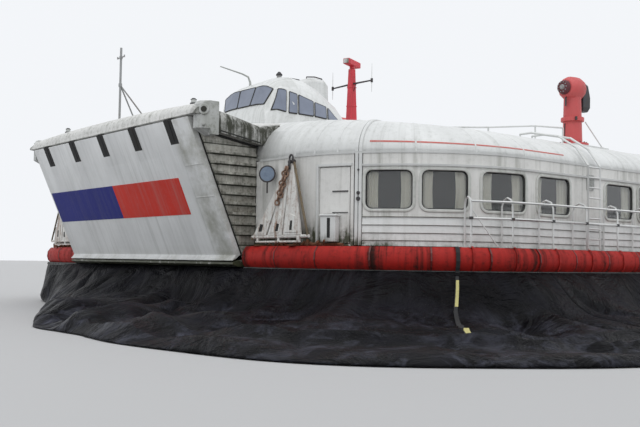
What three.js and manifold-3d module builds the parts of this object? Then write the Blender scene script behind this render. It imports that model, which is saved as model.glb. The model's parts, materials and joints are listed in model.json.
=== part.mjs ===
// Car and passenger hovercraft, retired and parked on its landing pads with its skirt let down.
// It is a scale model at 1:2. Every size below is the real craft's, in metres, and M turns it
// into the model's millimetres. X runs forward to the bow, Y to port and Z up. The origin is under
// the middle landing pad, on the ground.

import * as THREE from 'three';
import { mergeVertices } from 'three/addons/utils/BufferGeometryUtils.js';
import Module from 'manifold-3d';

const wasm = await Module();
wasm.setup();

const SCALE = 0.5;
const M = 1000 * SCALE;
const GAP = 0.002;
const RUN = 0.03;

// Levels above the ground
const RAFT_Z = { low: 0.65, top: 1.70 };
const DECK_Z = 2.05;
const BAND_LOW = 1.50;
const WALL_TOP = 4.32;
const CREST = 5.70;
const CROWN_DROP = 0.75;
const SHOULDER = 1.35;

// Plan of the hull at its deck edge, and of the cabins on it: rounded rectangles
const HULL = { front: 22.95, rear: -25.80, half: 11.50, bowRound: 4.60, sternRound: 3.00 };
const CABIN = { front: 22.60, rear: -25.30, half: 10.90, bowRound: 4.30, sternRound: 2.60 };
const WALL = 0.20;
const RAFT_INSET = 0.40;
const INNER_WALL = { half: 4.90, thick: 0.12, top: 5.38 };

// Bow door: the hinge line, and the lower edge, set back under it
const DOOR = { hinge: [24.70, 5.35], foot: [23.10, 1.72], half: 5.10, thick: 0.16 };
const BOW_BOX = { half: 5.20, wall: 0.14, roofHalf: 5.45, low: 4.75 };
const BOW_APERTURE = { half: 4.76, top: 5.18 };
const STERN_APERTURE = { half: 4.76, low: 1.74, split: 3.74, top: 5.18 };

// Windows of the port cabin: centre along the side in X, and turn in plan on the bow corner
const WINDOW = { wide: 1.06, tall: 0.86, low: 2.95, round: 0.16 };
const CORNER_WINDOWS = [39.5, 57.5, 79];
const SIDE_WINDOWS = { first: 17.3, second: 14.35, step: 1.62, count: 17 };
const CREW_DOOR = { from: 15.4, to: 26.6, low: 2.12, top: 3.98 };
const CORNER_SPLIT = 28;

const PYLON = { x: 9.80, y: 6.20, hub: 7.85 };
const AFT_PYLON = { x: -18.00, y: 7.00, hub: 8.72 };
const PROP = { hub: 0.34, ahead: 1.14 };
const FIN = { pivot: -21.20, nose: -19.80, tail: -23.50, low: 5.62, top: 11.20, y: 7.00, thick: 0.44 };
const RUDDER_TAIL = -25.30;
const MAST = { x: 14.70, top: 9.05 };

const COLOURS = {
  white: 0xd9dad6, red: 0xb2231e, black: 0x1a1a1d, grey: 0x8b8f90, deck: 0x9c9d98,
  dark: 0x2c2e31, glass: 0x1c2329, steel: 0x777a7c,
};

const craft = new THREE.Group();

function material(colour, roughness = 0.6, metalness = 0.1) {
  return new THREE.MeshStandardMaterial({ color: COLOURS[colour], roughness, metalness });
}

// Hang a finished shape, made in real metres about its own origin, at a place on the craft
function place(name, geometry, colour, at = [0, 0, 0], roughness = 0.6) {
  const scaled = geometry.clone();
  scaled.scale(M, M, M);
  scaled.computeVertexNormals();
  const mesh = new THREE.Mesh(scaled, material(colour, roughness));
  mesh.name = name;
  mesh.position.set(at[0] * M, at[1] * M, at[2] * M);
  craft.add(mesh);
  return mesh;
}

function toSolid(geometry) {
  const bare = geometry.clone();
  bare.deleteAttribute('normal');
  bare.deleteAttribute('uv');
  const merged = mergeVertices(bare, 1e-5);
  const triVerts = new Uint32Array(merged.index.array);
  const vertProperties = new Float32Array(merged.attributes.position.array);
  return new wasm.Manifold(new wasm.Mesh({ numProp: 3, vertProperties, triVerts }));
}

function toGeometry(solid) {
  const mesh = solid.getMesh();
  const points = new Float32Array((mesh.vertProperties.length / mesh.numProp) * 3);
  for (let i = 0; i < points.length / 3; i += 1) {
    for (let k = 0; k < 3; k += 1) points[3 * i + k] = mesh.vertProperties[mesh.numProp * i + k];
  }
  const geometry = new THREE.BufferGeometry();
  geometry.setAttribute('position', new THREE.BufferAttribute(points, 3));
  geometry.setIndex(new THREE.BufferAttribute(new Uint32Array(mesh.triVerts), 1));
  return geometry;
}

function fuse(shapes) {
  let whole = toSolid(shapes[0]);
  for (const shape of shapes.slice(1)) whole = whole.add(toSolid(shape));
  return toGeometry(whole);
}

function cut(shape, tools) {
  let whole = toSolid(shape);
  for (const tool of tools) whole = whole.subtract(toSolid(tool));
  return toGeometry(whole);
}

function keep(shape, tool) {
  return toGeometry(toSolid(shape).intersect(toSolid(tool)));
}

function box(x, y, z) {
  const geometry = new THREE.BoxGeometry(x[1] - x[0], y[1] - y[0], z[1] - z[0]);
  geometry.translate((x[0] + x[1]) / 2, (y[0] + y[1]) / 2, (z[0] + z[1]) / 2);
  return geometry;
}

// Extrude a plan outline of [x, y] points from one level to another
function slab(outline, low, top) {
  const shape = new THREE.Shape(outline.map(([x, y]) => new THREE.Vector2(x, y)));
  const geometry = new THREE.ExtrudeGeometry(shape, { depth: top - low, bevelEnabled: false });
  geometry.translate(0, 0, low);
  return geometry;
}

// Extrude a side outline of [x, z] points across the craft, from y = a to y = b
function profile(outline, a, b) {
  const shape = new THREE.Shape(outline.map(([x, z]) => new THREE.Vector2(x, z)));
  const geometry = new THREE.ExtrudeGeometry(shape, { depth: b - a, bevelEnabled: false });
  geometry.rotateX(Math.PI / 2);
  geometry.translate(0, b, 0);
  return geometry;
}

// A round bar between two points
function bar(from, to, radius, sides = 6) {
  const a = new THREE.Vector3(...from);
  const b = new THREE.Vector3(...to);
  const along = b.clone().sub(a);
  const geometry = new THREE.CylinderGeometry(radius, radius, along.length(), sides);
  const turn = new THREE.Quaternion().setFromUnitVectors(new THREE.Vector3(0, 1, 0), along.normalize());
  geometry.applyQuaternion(turn);
  geometry.translate((a.x + b.x) / 2, (a.y + b.y) / 2, (a.z + b.z) / 2);
  return geometry;
}

// Bars through a run of points, each joint filled by a small ball
function rod(points, radius, sides = 6) {
  const shapes = [];
  for (let i = 0; i + 1 < points.length; i += 1) shapes.push(bar(points[i], points[i + 1], radius, sides));
  for (const point of points.slice(1, -1)) {
    const ball = new THREE.OctahedronGeometry(radius * 1.3, 0);
    ball.translate(...point);
    shapes.push(ball);
  }
  return shapes;
}

function mirrored(geometry) {
  const copy = geometry.index ? geometry.toNonIndexed() : geometry.clone();
  const points = copy.attributes.position;
  for (let i = 0; i < points.count; i += 3) {
    const corners = [0, 2, 1].map((k) => new THREE.Vector3().fromBufferAttribute(points, i + k));
    corners.forEach((corner, k) => points.setXYZ(i + k, corner.x, -corner.y, corner.z));
  }
  return mergeVertices(copy.deleteAttribute('normal'), 1e-6);
}

function pair(name, geometry, colour, at = [0, 0, 0], roughness = 0.6) {
  place(`${name}_port`, geometry, colour, at, roughness);
  place(`${name}_starboard`, mirrored(geometry), colour, [at[0], -at[1], at[2]], roughness);
}

// A skin over a grid of points: rows of equal length, joined row to row. It closes on itself
// across a row when ring is true, and its first and last rows are capped when capped is true.
function skin(rows, { ring = true, capped = true, loop = false } = {}) {
  const across = rows[0].length;
  const points = rows.flat();
  const faces = [];
  const at = (i, j) => (i % rows.length) * across + (j % across);
  const lastRow = loop ? rows.length : rows.length - 1;
  const lastStep = ring ? across : across - 1;
  for (let i = 0; i < lastRow; i += 1) {
    for (let j = 0; j < lastStep; j += 1) {
      faces.push([at(i, j), at(i + 1, j), at(i + 1, j + 1)], [at(i, j), at(i + 1, j + 1), at(i, j + 1)]);
    }
  }
  if (capped && !loop) {
    for (const [row, flip] of [[0, false], [rows.length - 1, true]]) {
      const flat = flattened(rows[row]);
      for (const [a, b, c] of THREE.ShapeUtils.triangulateShape(flat, [])) {
        const corners = [a, b, c].map((k) => row * across + k);
        faces.push(flip ? corners.reverse() : corners);
      }
    }
  }
  return closed(points, faces);
}

// The points of a flat ring, in two coordinates of its own plane, turned anticlockwise
function flattened(ring) {
  const points = ring.map((p) => new THREE.Vector3(...p));
  const normal = new THREE.Vector3();
  points.forEach((p, i) => {
    const q = points[(i + 1) % points.length];
    normal.add(new THREE.Vector3().crossVectors(p, q));
  });
  normal.normalize();
  const u = points[1].clone().sub(points[0]).normalize();
  const v = new THREE.Vector3().crossVectors(normal, u);
  return points.map((p) => new THREE.Vector2(p.dot(u), p.dot(v)));
}

// A geometry from points and triangles, with its faces turned outwards and empty faces dropped
function closed(points, faces) {
  const geometry = new THREE.BufferGeometry();
  geometry.setAttribute('position', new THREE.Float32BufferAttribute(points.flat(), 3));
  geometry.setIndex(faces.flat());
  const merged = mergeVertices(geometry, 1e-5);
  const index = merged.index.array;
  const kept = [];
  for (let i = 0; i < index.length; i += 3) {
    const [a, b, c] = [index[i], index[i + 1], index[i + 2]];
    if (a !== b && b !== c && a !== c) kept.push([a, b, c]);
  }
  const corner = (k) => new THREE.Vector3().fromBufferAttribute(merged.attributes.position, k);
  let volume = 0;
  for (const [a, b, c] of kept) volume += corner(a).dot(corner(b).cross(corner(c)));
  merged.setIndex((volume < 0 ? kept.map(([a, b, c]) => [a, c, b]) : kept).flat());
  return merged;
}

// Stations round a plan's port half, from the middle of the bow to the middle of the stern: each
// has its point, its outward direction and u, which counts the corners passed on the way.
function portStations(plan, { bowSteps = 6, sternSteps = 4, sideXs = [] } = {}) {
  const stations = [];
  const add = (x, y, turn, u) => stations.push({ x, y, nx: Math.cos(turn), ny: Math.sin(turn), u });
  const bowY = plan.half - plan.bowRound;
  const sternY = plan.half - plan.sternRound;
  add(plan.front, 0, 0, 0);
  add(plan.front, bowY / 2, 0, 0.5);
  for (let i = 0; i <= bowSteps; i += 1) {
    const turn = (i / bowSteps) * Math.PI / 2;
    const x = plan.front - plan.bowRound + plan.bowRound * Math.cos(turn);
    add(x, bowY + plan.bowRound * Math.sin(turn), turn, 1 + i / bowSteps);
  }
  const from = plan.front - plan.bowRound;
  const to = plan.rear + plan.sternRound;
  for (const x of sideXs) add(x, plan.half, Math.PI / 2, 2 + (from - x) / (from - to));
  for (let i = 0; i <= sternSteps; i += 1) {
    const turn = (1 + i / sternSteps) * Math.PI / 2;
    const x = plan.rear + plan.sternRound + plan.sternRound * Math.cos(turn);
    add(x, sternY + plan.sternRound * Math.sin(turn), turn, 3 + i / sternSteps);
  }
  add(plan.rear, 0, Math.PI, 5);
  return stations;
}

function ringStations(plan, options) {
  const port = portStations(plan, options);
  const starboard = port.slice(1, -1).reverse().map((s) => ({ ...s, y: -s.y, ny: -s.ny, u: -s.u }));
  return [...port, ...starboard];
}

function outward(station, distance) {
  return [station.x + station.nx * distance, station.y + station.ny * distance];
}

const planOutline = (plan, inset, options) => ringStations(plan, options).map((s) => outward(s, -inset));

// Values between the rows of a short table of [place, value], straight from one to the next
function between(table, place) {
  if (place <= table[0][0]) return table[0][1];
  for (let i = 0; i + 1 < table.length; i += 1) {
    const [a, low] = table[i];
    const [b, high] = table[i + 1];
    if (place <= b) return low + (high - low) * (place - a) / (b - a);
  }
  return table[table.length - 1][1];
}

// Buoyancy raft: a plain decked hull on five landing pads
const PADS = [[0, 0], [14, 6.5], [14, -6.5], [-17, 6.5], [-17, -6.5]];
const PAD = { foot: 0.8, head: 1.3 };

function raft() {
  const body = slab(planOutline(HULL, RAFT_INSET), RAFT_Z.low, RAFT_Z.top);
  const pads = PADS.map(([x, y]) => {
    const pad = new THREE.CylinderGeometry(PAD.head, PAD.foot, RAFT_Z.low + 0.05, 4, 1);
    pad.rotateY(Math.PI / 4);
    pad.rotateX(Math.PI / 2);
    pad.translate(x, y, (RAFT_Z.low + 0.05) / 2);
    return pad;
  });
  return fuse([body, ...pads]);
}
place('hull_raft', raft(), 'grey');

// Side decks, which carry the cabins on each side of the car deck
function sideDeck() {
  const whole = slab(planOutline(HULL, RAFT_INSET), RAFT_Z.top + GAP, DECK_Z);
  return keep(whole, box([-30, 30], [INNER_WALL.half + GAP, 12], [1, 3]));
}
pair('side_deck', sideDeck(), 'deck');

// Deck edge: a bulged red rubbing band round the hull, open at the bow door and the stern ramp.
// Its section is [outward from the deck edge, level].
const BAND = [
  [-RAFT_INSET + GAP, BAND_LOW], [-0.03, BAND_LOW], [0.05, 1.58], [0.09, 1.72],
  [0.07, 1.90], [-0.02, 2.02], [-0.06, DECK_Z], [-RAFT_INSET + GAP, DECK_Z],
];
const bandRows = ringStations(HULL).map((s) => BAND.map(([d, z]) => [...outward(s, d), z]));
const band = skin(bandRows, { loop: true });
const bandGap = [
  box([20, 26], [-DOOR.half - 0.15, DOOR.half + 0.15], [1, 3]),
  box([-28, -24], [-INNER_WALL.half, INNER_WALL.half], [1, 3]),
];
const openBand = toSolid(cut(band, bandGap)).decompose().map(toGeometry);
openBand.sort((a, b) => centreY(b) - centreY(a));
place('deck_edge_port', openBand[0], 'red');
place('deck_edge_starboard', openBand[1], 'red');

function centreY(geometry) {
  geometry.computeBoundingBox();
  return (geometry.boundingBox.min.y + geometry.boundingBox.max.y) / 2;
}

// Sills under the bow door and the stern ramp
place('bow_sill', profile([
  [HULL.front - RAFT_INSET + GAP, BAND_LOW], [23.05, BAND_LOW], [23.22, 1.56], [23.22, 1.62],
  [23.05, 1.68], [HULL.front - RAFT_INSET + GAP, 1.68],
], -DOOR.half, DOOR.half), 'white');
place('stern_sill', box([HULL.rear, HULL.rear + RAFT_INSET - GAP],
  [-INNER_WALL.half + 0.02, INNER_WALL.half - 0.02], [BAND_LOW, 1.60]), 'grey');

// Skirt: heavy rubberised cloth let down round the raft. It spreads furthest at the port bow.
// Spread is [corners passed, distance of its foot from the deck edge], starboard first.
const SPREAD = [
  [-5, 2.40], [-4, 2.40], [-3, 2.60], [-2.3, 2.30], [-2, 1.70], [-1.5, 1.00], [-1, 0.95],
  [-0.5, 2.15], [0, 3.60], [0.5, 5.10], [1, 5.24], [1.2, 5.70], [1.33, 6.20], [1.5, 6.35], [1.75, 6.10],
  [2, 5.50], [2.1, 4.60], [2.25, 3.60], [2.5, 3.00], [3, 2.90], [4, 2.40], [5, 2.40],
];
// Section of the skirt, down its face and back up inside: [level, share of the spread where it
// hangs straight, share where it lies slack on the ground, added distance]
const SKIRT_SECTION = [
  [BAND_LOW - GAP, 0, 0, -0.37], [BAND_LOW - GAP, 0, 0, -0.04], [1.36, 0.10, 0.04, 0],
  [1.06, 0.38, 0.12, 0], [0.62, 0.68, 0.22, 0], [0.30, 0.92, 0.48, 0], [0.12, 1, 0.80, 0], [0, 1, 1, 0],
  [0, 1, 1, -0.45], [0.16, 0.66, 0.54, -0.30], [0.52, 0.36, 0.16, -0.30], [1.10, 0, 0, -0.37],
];
const SLACK = { from: 2.0, to: 4.0 };
// Segments: [name, first place, last place] in corners passed
const SKIRT = [
  ['skirt_bow', -1, 1], ['skirt_port_bow', 1, 2], ['skirt_port', 2, 3], ['skirt_stern', 3, -3],
  ['skirt_starboard', -3, -2], ['skirt_starboard_bow', -2, -1],
];
const SIDE_XS = [16, 13, 9.5, 5, 0, -8, -16];

function skirtSegment(from, to) {
  const ring = ringStations(HULL, { bowSteps: 8, sternSteps: 4, sideXs: SIDE_XS });
  const places = ring.map((s) => s.u);
  const first = places.findIndex((u) => Math.abs(u - from) < 1e-6);
  const last = places.findIndex((u) => Math.abs(u - to) < 1e-6);
  const stations = [];
  for (let i = first; ; i = (i + 1) % ring.length) {
    stations.push(ring[i]);
    if (i === last) break;
  }
  return skin(stations.map((s) => {
    const spread = between(SPREAD, s.u);
    const slack = between([[SLACK.from, 0], [SLACK.to, 1]], spread);
    return SKIRT_SECTION.map(([z, straight, lying, more]) => {
      const share = straight + (lying - straight) * slack;
      return [...outward(s, share * spread + more), z];
    });
  }));
}

// Shorten a segment by a hair at both ends, so that it meets its neighbours without a joint
function skirtCut(segment, from, to) {
  const ring = ringStations(HULL, { bowSteps: 8, sternSteps: 4, sideXs: SIDE_XS });
  const knives = [from, to].map((u) => {
    const s = ring.find((station) => Math.abs(station.u - u) < 1e-6);
    const knife = new THREE.BoxGeometry(14, 2 * GAP, 4);
    knife.rotateZ(Math.atan2(s.ny, s.nx));
    knife.translate(...outward(s, 4), 1);
    return knife;
  });
  return cut(segment, knives);
}
for (const [name, from, to] of SKIRT) {
  place(name, skirtCut(skirtSegment(from, to), from, to), 'black', [0, 0, 0], 0.45);
}

// Roof: a crowned shell over the whole craft, curved down to the walls all round
const crown = (y) => CREST - CROWN_DROP * (y / CABIN.half) ** 2;
const ROOF_THICK = 0.12;
const EAVES = WALL_TOP + 0.02;
const SHOULDER_TURNS = [0, 22.5, 45, 67.5, 90];
const SPREAD_IN = [0.3, 0.65];
const SPINE = { front: CABIN.front - CABIN.bowRound, rear: CABIN.rear + CABIN.sternRound };

// One surface of the roof as rings of points: up from a level, in over the shoulder to the spine
function roofRings(lift, inset, low) {
  const ring = ringStations(CABIN, { bowSteps: 5, sternSteps: 3, sideXs: [10, -4] });
  const rings = [ring.map((s) => [...outward(s, -inset), low])];
  for (const turn of SHOULDER_TURNS) {
    const a = turn * Math.PI / 180;
    const d = SHOULDER * (1 - Math.cos(a));
    rings.push(ring.map((s) => {
      const [x, y] = outward(s, -inset - d);
      return [x, y, EAVES + (crown(Math.abs(y)) - EAVES) * Math.sin(a) + lift];
    }));
  }
  const spine = ring.map((s) => [Math.min(Math.max(s.x, SPINE.rear), SPINE.front), 0]);
  for (const share of [...SPREAD_IN, 1]) {
    rings.push(ring.map((s, i) => {
      const [x0, y0] = outward(s, -inset - SHOULDER);
      const x = x0 + (spine[i][0] - x0) * share;
      const y = y0 * (1 - share);
      return [x, y, crown(Math.abs(y)) + lift];
    }));
  }
  return rings;
}

// The closed space under one such surface, down to a level. Its facets match on both sides.
function underSurface(lift, inset, low) {
  const rings = roofRings(lift, inset, low);
  const count = rings[0].length;
  const faces = [];
  for (let i = 0; i + 1 < rings.length; i += 1) {
    for (let j = 0; j < count; j += 1) {
      const k = (j + 1) % count;
      const [a, b, c, d] = [i * count + j, i * count + k, (i + 1) * count + k, (i + 1) * count + j];
      const port = rings[0][j][1] + rings[0][k][1] > 0;
      faces.push(...(port ? [[a, b, c], [a, c, d]] : [[a, b, d], [b, c, d]]));
    }
  }
  for (const [a, b, c] of THREE.ShapeUtils.triangulateShape(flattened(rings[0]), [])) faces.push([a, c, b]);
  return closed(rings.flat(), faces);
}

const underRoof = (lift) => underSurface(lift, 0, WALL_TOP);
const insideRoof = (gap, low) => underSurface(-ROOF_THICK - gap, WALL + gap, low);

place('main_roof', cut(underRoof(0), [
  insideRoof(0, WALL_TOP - 0.3),
  box([20, 24], [-BOW_APERTURE.half, BOW_APERTURE.half], [4, BOW_APERTURE.top]),
  box([-27, -24], [-STERN_APERTURE.half, STERN_APERTURE.half], [4, STERN_APERTURE.top]),
]), 'white');

const seat = (shape) => cut(shape, [underRoof(GAP)]);

// Outer walls. Each is a strip of the cabin plan, from one place round it to another.
const WALL_Z = [DECK_Z + GAP, WALL_TOP - GAP];

// A point on the cabin's bow corner: turn is degrees round from straight ahead
function cornerStation(turn) {
  const a = turn * Math.PI / 180;
  const [nx, ny] = [Math.cos(a), Math.sin(a)];
  const x = CABIN.front - CABIN.bowRound + CABIN.bowRound * nx;
  return { x, y: CABIN.half - CABIN.bowRound + CABIN.bowRound * ny, nx, ny };
}

function wallStrip(stations, z, thick = WALL) {
  const outer = stations.map((s) => outward(s, 0));
  const inner = stations.map((s) => outward(s, -thick)).reverse();
  return slab([...outer, ...inner], ...z);
}

// A round-cornered opening through a wall, standing across it
function opening(station, wide, low, tall, round) {
  const [w, h] = [wide / 2, tall / 2];
  const shape = new THREE.Shape();
  shape.moveTo(-w + round, -h);
  shape.lineTo(w - round, -h);
  shape.absarc(w - round, -h + round, round, -Math.PI / 2, 0, false);
  shape.lineTo(w, h - round);
  shape.absarc(w - round, h - round, round, 0, Math.PI / 2, false);
  shape.lineTo(-w + round, h);
  shape.absarc(-w + round, h - round, round, Math.PI / 2, Math.PI, false);
  shape.lineTo(-w, -h + round);
  shape.absarc(-w + round, -h + round, round, Math.PI, 1.5 * Math.PI, false);
  const depth = 0.9;
  const geometry = new THREE.ExtrudeGeometry(shape, { depth, bevelEnabled: false, curveSegments: 1 });
  geometry.translate(0, 0, -depth / 2);
  geometry.rotateX(Math.PI / 2);
  geometry.rotateZ(Math.atan2(station.ny, station.nx) - Math.PI / 2);
  geometry.translate(station.x, station.y, low + h);
  return geometry;
}

const range = (from, to, count) => Array.from({ length: count + 1 }, (_, i) => from + (to - from) * i / count);
const sideStation = (x) => ({ x, y: CABIN.half, nx: 0, ny: 1 });
const sternStation = (turn) => {
  const a = turn * Math.PI / 180;
  const [nx, ny] = [Math.cos(a), Math.sin(a)];
  const x = CABIN.rear + CABIN.sternRound + CABIN.sternRound * nx;
  return { x, y: CABIN.half - CABIN.sternRound + CABIN.sternRound * ny, nx, ny };
};

// Bow corner wall, from the bow box round to the frame behind the crew door
const SPLIT_GAP = 0.03;
const bowWallBody = wallStrip([
  { x: CABIN.front, y: BOW_BOX.half + 0.02, nx: 1, ny: 0 },
  ...range(0, CORNER_SPLIT - SPLIT_GAP, 5).map(cornerStation),
], WALL_Z);
const doorPocket = (grow) => wallStrip(
  range(CREW_DOOR.from - grow, CREW_DOOR.to + grow, 3).map((turn) => {
    const s = cornerStation(turn);
    return { ...s, x: s.x + s.nx * 0.1, y: s.y + s.ny * 0.1 };
  }), [CREW_DOOR.low - 0.012, CREW_DOOR.top + 0.012], 0.5);
pair('bow_wall', cut(bowWallBody, [doorPocket(0.18)]), 'white');

// Crew door, hinged at its aft edge
const crewHinge = cornerStation(CREW_DOOR.to);
const crewDoor = wallStrip(range(CREW_DOOR.from, CREW_DOOR.to, 3).map(cornerStation),
  [CREW_DOOR.low, CREW_DOOR.top], 0.09);
crewDoor.translate(-crewHinge.x, -crewHinge.y, 0);
pair('crew_door', crewDoor, 'white', [crewHinge.x, crewHinge.y, 0]);

// Cabin side wall with its windows, from the frame to the stern corner
const windowPlaces = [
  ...CORNER_WINDOWS.map(cornerStation),
  sideStation(SIDE_WINDOWS.first),
  ...range(0, SIDE_WINDOWS.count - 1, SIDE_WINDOWS.count - 1).map(
    (i) => sideStation(SIDE_WINDOWS.second - SIDE_WINDOWS.step * i)),
];
const cornerRun = range(CORNER_SPLIT + SPLIT_GAP, 90, 7).map(cornerStation);
const sideWallBody = wallStrip([
  ...cornerRun,
  ...range(90, 180, 5).map(sternStation),
  { x: CABIN.rear, y: STERN_APERTURE.half, nx: -1, ny: 0 },
], WALL_Z);
pair('cabin_wall', cut(sideWallBody, windowPlaces.map(
  (s) => opening(s, WINDOW.wide, WINDOW.low, WINDOW.tall, WINDOW.round))), 'white');

// Window glass: one strip just inside each side wall
const PANES = { past: 0.12, thick: 0.03, lastX: -12.6 };
const insideWall = (s) => ({ ...s, x: s.x - s.nx * (WALL + GAP), y: s.y - s.ny * (WALL + GAP) });
const paneStrip = wallStrip([...cornerRun, sideStation(PANES.lastX)].map(insideWall),
  [WINDOW.low - PANES.past, WINDOW.low + WINDOW.tall + PANES.past], PANES.thick);
pair('cabin_glass', paneStrip, 'glass', [0, 0, 0], 0.1);

// Inner walls, one on each side of the car deck
pair('inner_wall', keep(box([CABIN.rear, CABIN.front],
  [INNER_WALL.half - INNER_WALL.thick, INNER_WALL.half], [RAFT_Z.top + GAP, INNER_WALL.top]),
insideRoof(GAP, 1)), 'white');

// Bow box: two ribbed sides and a rounded roof, out to the door's hinge line
const leanX = (z) => DOOR.foot[0] + (DOOR.hinge[0] - DOOR.foot[0]) * (z - DOOR.foot[1])
  / (DOOR.hinge[1] - DOOR.foot[1]);
const DOOR_BACK = 0.20;
const RIBS = { low: 2.34, step: 0.262, count: 9, proud: 0.08, tall: 0.07 };

function bowSide() {
  const back = CABIN.front + GAP;
  const [low, high] = [1.72, 5.00];
  const panel = profile([
    [back, low], [leanX(low) - DOOR_BACK, low], [leanX(high) - DOOR_BACK, high],
    [back, BOW_BOX.low - 0.02],
  ], BOW_BOX.half - BOW_BOX.wall, BOW_BOX.half);
  const ribs = range(0, RIBS.count - 1, RIBS.count - 1).map((i) => {
    const z = RIBS.low + RIBS.step * i;
    return box([back + 0.02, leanX(z) - DOOR_BACK - 0.05],
      [BOW_BOX.half - 0.05, BOW_BOX.half + RIBS.proud], [z, z + RIBS.tall]);
  });
  return fuse([panel, ...ribs]);
}
pair('bow_side', bowSide(), 'white');

// Roof of the bow box, from the cabin's shoulder out over the door, lower at its sides.
// Rows are [x, underside, top at the sides, top in the middle].
const BOW_ROOF = [
  [21.20, 5.20, 5.46, 5.74], [CABIN.front + GAP, BOW_BOX.low, 5.28, 5.74], [24.10, 4.99, 5.56, 5.71],
  [24.363, 5.04, 5.60, 5.66], [24.507, 5.365, 5.55, 5.60], [24.69, 5.375, 5.44, 5.45],
];
const BOW_ROOF_EDGE = { round: 0.10, in: 0.9 };
const bowRoof = skin(BOW_ROOF.map(([x, low, side, middle]) => {
  const half = BOW_BOX.roofHalf;
  const port = [
    [half, low], [half, side - (side - low) * 0.3], [half - BOW_ROOF_EDGE.round, side],
    [half - BOW_ROOF_EDGE.in, side + (middle - side) * 0.55],
  ];
  const starboard = port.map(([y, z]) => [-y, z]).reverse();
  return [...port, [0, middle], ...starboard].map(([y, z]) => [x, y, z]);
}));
place('bow_roof', seat(bowRoof), 'white');

// Bow door: a slab with a curled lower lip and five slots for its hinge arms. It is made about
// its hinge line, so its own origin is on that line.
const HINGES = { count: 5, spacing: 2.03, wide: 0.25, tall: 0.95, deep: 0.10 };
const lean = Math.atan2(DOOR.hinge[0] - DOOR.foot[0], DOOR.hinge[1] - DOOR.foot[1]);
const doorLength = Math.hypot(DOOR.hinge[0] - DOOR.foot[0], DOOR.hinge[1] - DOOR.foot[1]);

function bowDoor() {
  const t = DOOR.thick;
  const backTop = -(0.02 + t * Math.sin(lean)) / Math.cos(lean);
  const panel = profile([
    [0, -0.02], [0, -doorLength + 0.10], [0.06, -doorLength + 0.05], [0.15, -doorLength + 0.02],
    [0.15, -doorLength - 0.01], [0.02, -doorLength], [-t, -doorLength + 0.04], [-t, backTop],
  ], -DOOR.half, DOOR.half);
  const slots = range(0, HINGES.count - 1, HINGES.count - 1).map((i) => {
    const y = (i - (HINGES.count - 1) / 2) * HINGES.spacing;
    return box([-HINGES.deep, 0.1], [y - HINGES.wide / 2, y + HINGES.wide / 2], [-HINGES.tall, 0.1]);
  });
  const door = cut(panel, slots);
  door.rotateY(lean);
  return door;
}
place('bow_door', bowDoor(), 'white', [DOOR.hinge[0], 0, DOOR.hinge[1]]);

// Loading ramp of the bow, stowed flat on the car deck behind the door
place('bow_ramp', box([18.9, 22.2], [-2.7, 2.7], [RAFT_Z.top + GAP, RAFT_Z.top + 0.14]), 'grey');

// Stern opening: an upper flap hinged along its top, and a ramp hinged along its foot
const sternDoor = box([0, 0.14], [-STERN_APERTURE.half + RUN, STERN_APERTURE.half - RUN],
  [STERN_APERTURE.split + 0.01 - STERN_APERTURE.top, -0.012]);
place('stern_door', sternDoor, 'white', [CABIN.rear, 0, STERN_APERTURE.top]);
const sternRamp = box([0, 0.14], [-STERN_APERTURE.half + RUN, STERN_APERTURE.half - RUN],
  [0, STERN_APERTURE.split - 0.01 - STERN_APERTURE.low]);
place('stern_ramp', sternRamp, 'grey', [CABIN.rear, 0, STERN_APERTURE.low]);

// Gas turbines: two a side, as one plain block each side in the engine rooms
pair('engine_block', box([-22.0, -18.0], [6.4, 9.6], [DECK_Z + GAP, 3.35]), 'dark');

// Control cabin on the roof, a hollow shell lofted through rounded plans.
// Rows are [level, front, rear, half width, corner round].
const CABIN_TOP = [
  [5.40, 19.55, 15.05, 2.15, 0.7], [6.38, 19.30, 15.15, 2.02, 0.7], [7.42, 18.75, 15.45, 1.72, 0.65],
  [7.72, 18.35, 15.65, 1.45, 0.6], [7.92, 17.70, 15.90, 0.95, 0.5], [8.00, 17.00, 16.30, 0.35, 0.3],
];
const CABIN_SKIN = 0.10;
// Panes: [facing, middle along the face, width, low, tall]
const FRONT_PANES = [-1.18, -0.40, 0.40, 1.18];
const SIDE_PANES = [18.35, 17.62, 16.90, 16.20];

function roundedRing([z, front, rear, half, round], inset) {
  const [f, r, h, c] = [front - inset, rear + inset, half - inset, Math.max(round - inset, 0.1)];
  const ring = [];
  const corners = [[f - c, h - c, 0], [r + c, h - c, 90], [r + c, c - h, 180], [f - c, c - h, 270]];
  for (const [x, y, start] of corners) {
    for (const turn of [0, 30, 60, 90]) {
      const a = (start + turn) * Math.PI / 180;
      ring.push([x + c * Math.cos(a), y + c * Math.sin(a), z]);
    }
  }
  return ring;
}

function controlCabin() {
  const shell = skin(CABIN_TOP.map((row) => roundedRing(row, 0)));
  const inside = skin([[5.2, ...CABIN_TOP[0].slice(1)], ...CABIN_TOP.slice(1, 5)].map(
    (row, i) => roundedRing(row, CABIN_SKIN).map(([x, y, z]) => [x, y, i > 2 ? z - CABIN_SKIN : z])));
  const holes = [];
  for (const y of FRONT_PANES) holes.push(opening({ x: 19.0, y, nx: 1, ny: 0 }, 0.68, 6.60, 0.72, 0.08));
  for (const x of SIDE_PANES) {
    holes.push(opening({ x, y: 1.85, nx: 0, ny: 1 }, 0.60, 6.52, 0.70, 0.08));
    holes.push(opening({ x, y: -1.85, nx: 0, ny: -1 }, 0.60, 6.52, 0.70, 0.08));
  }
  for (const y of [-0.62, 0.62]) holes.push(opening({ x: 15.3, y, nx: -1, ny: 0 }, 0.9, 6.60, 0.62, 0.08));
  return seat(cut(shell, [inside, ...holes]));
}
place('control_cabin', controlCabin(), 'white');

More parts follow.
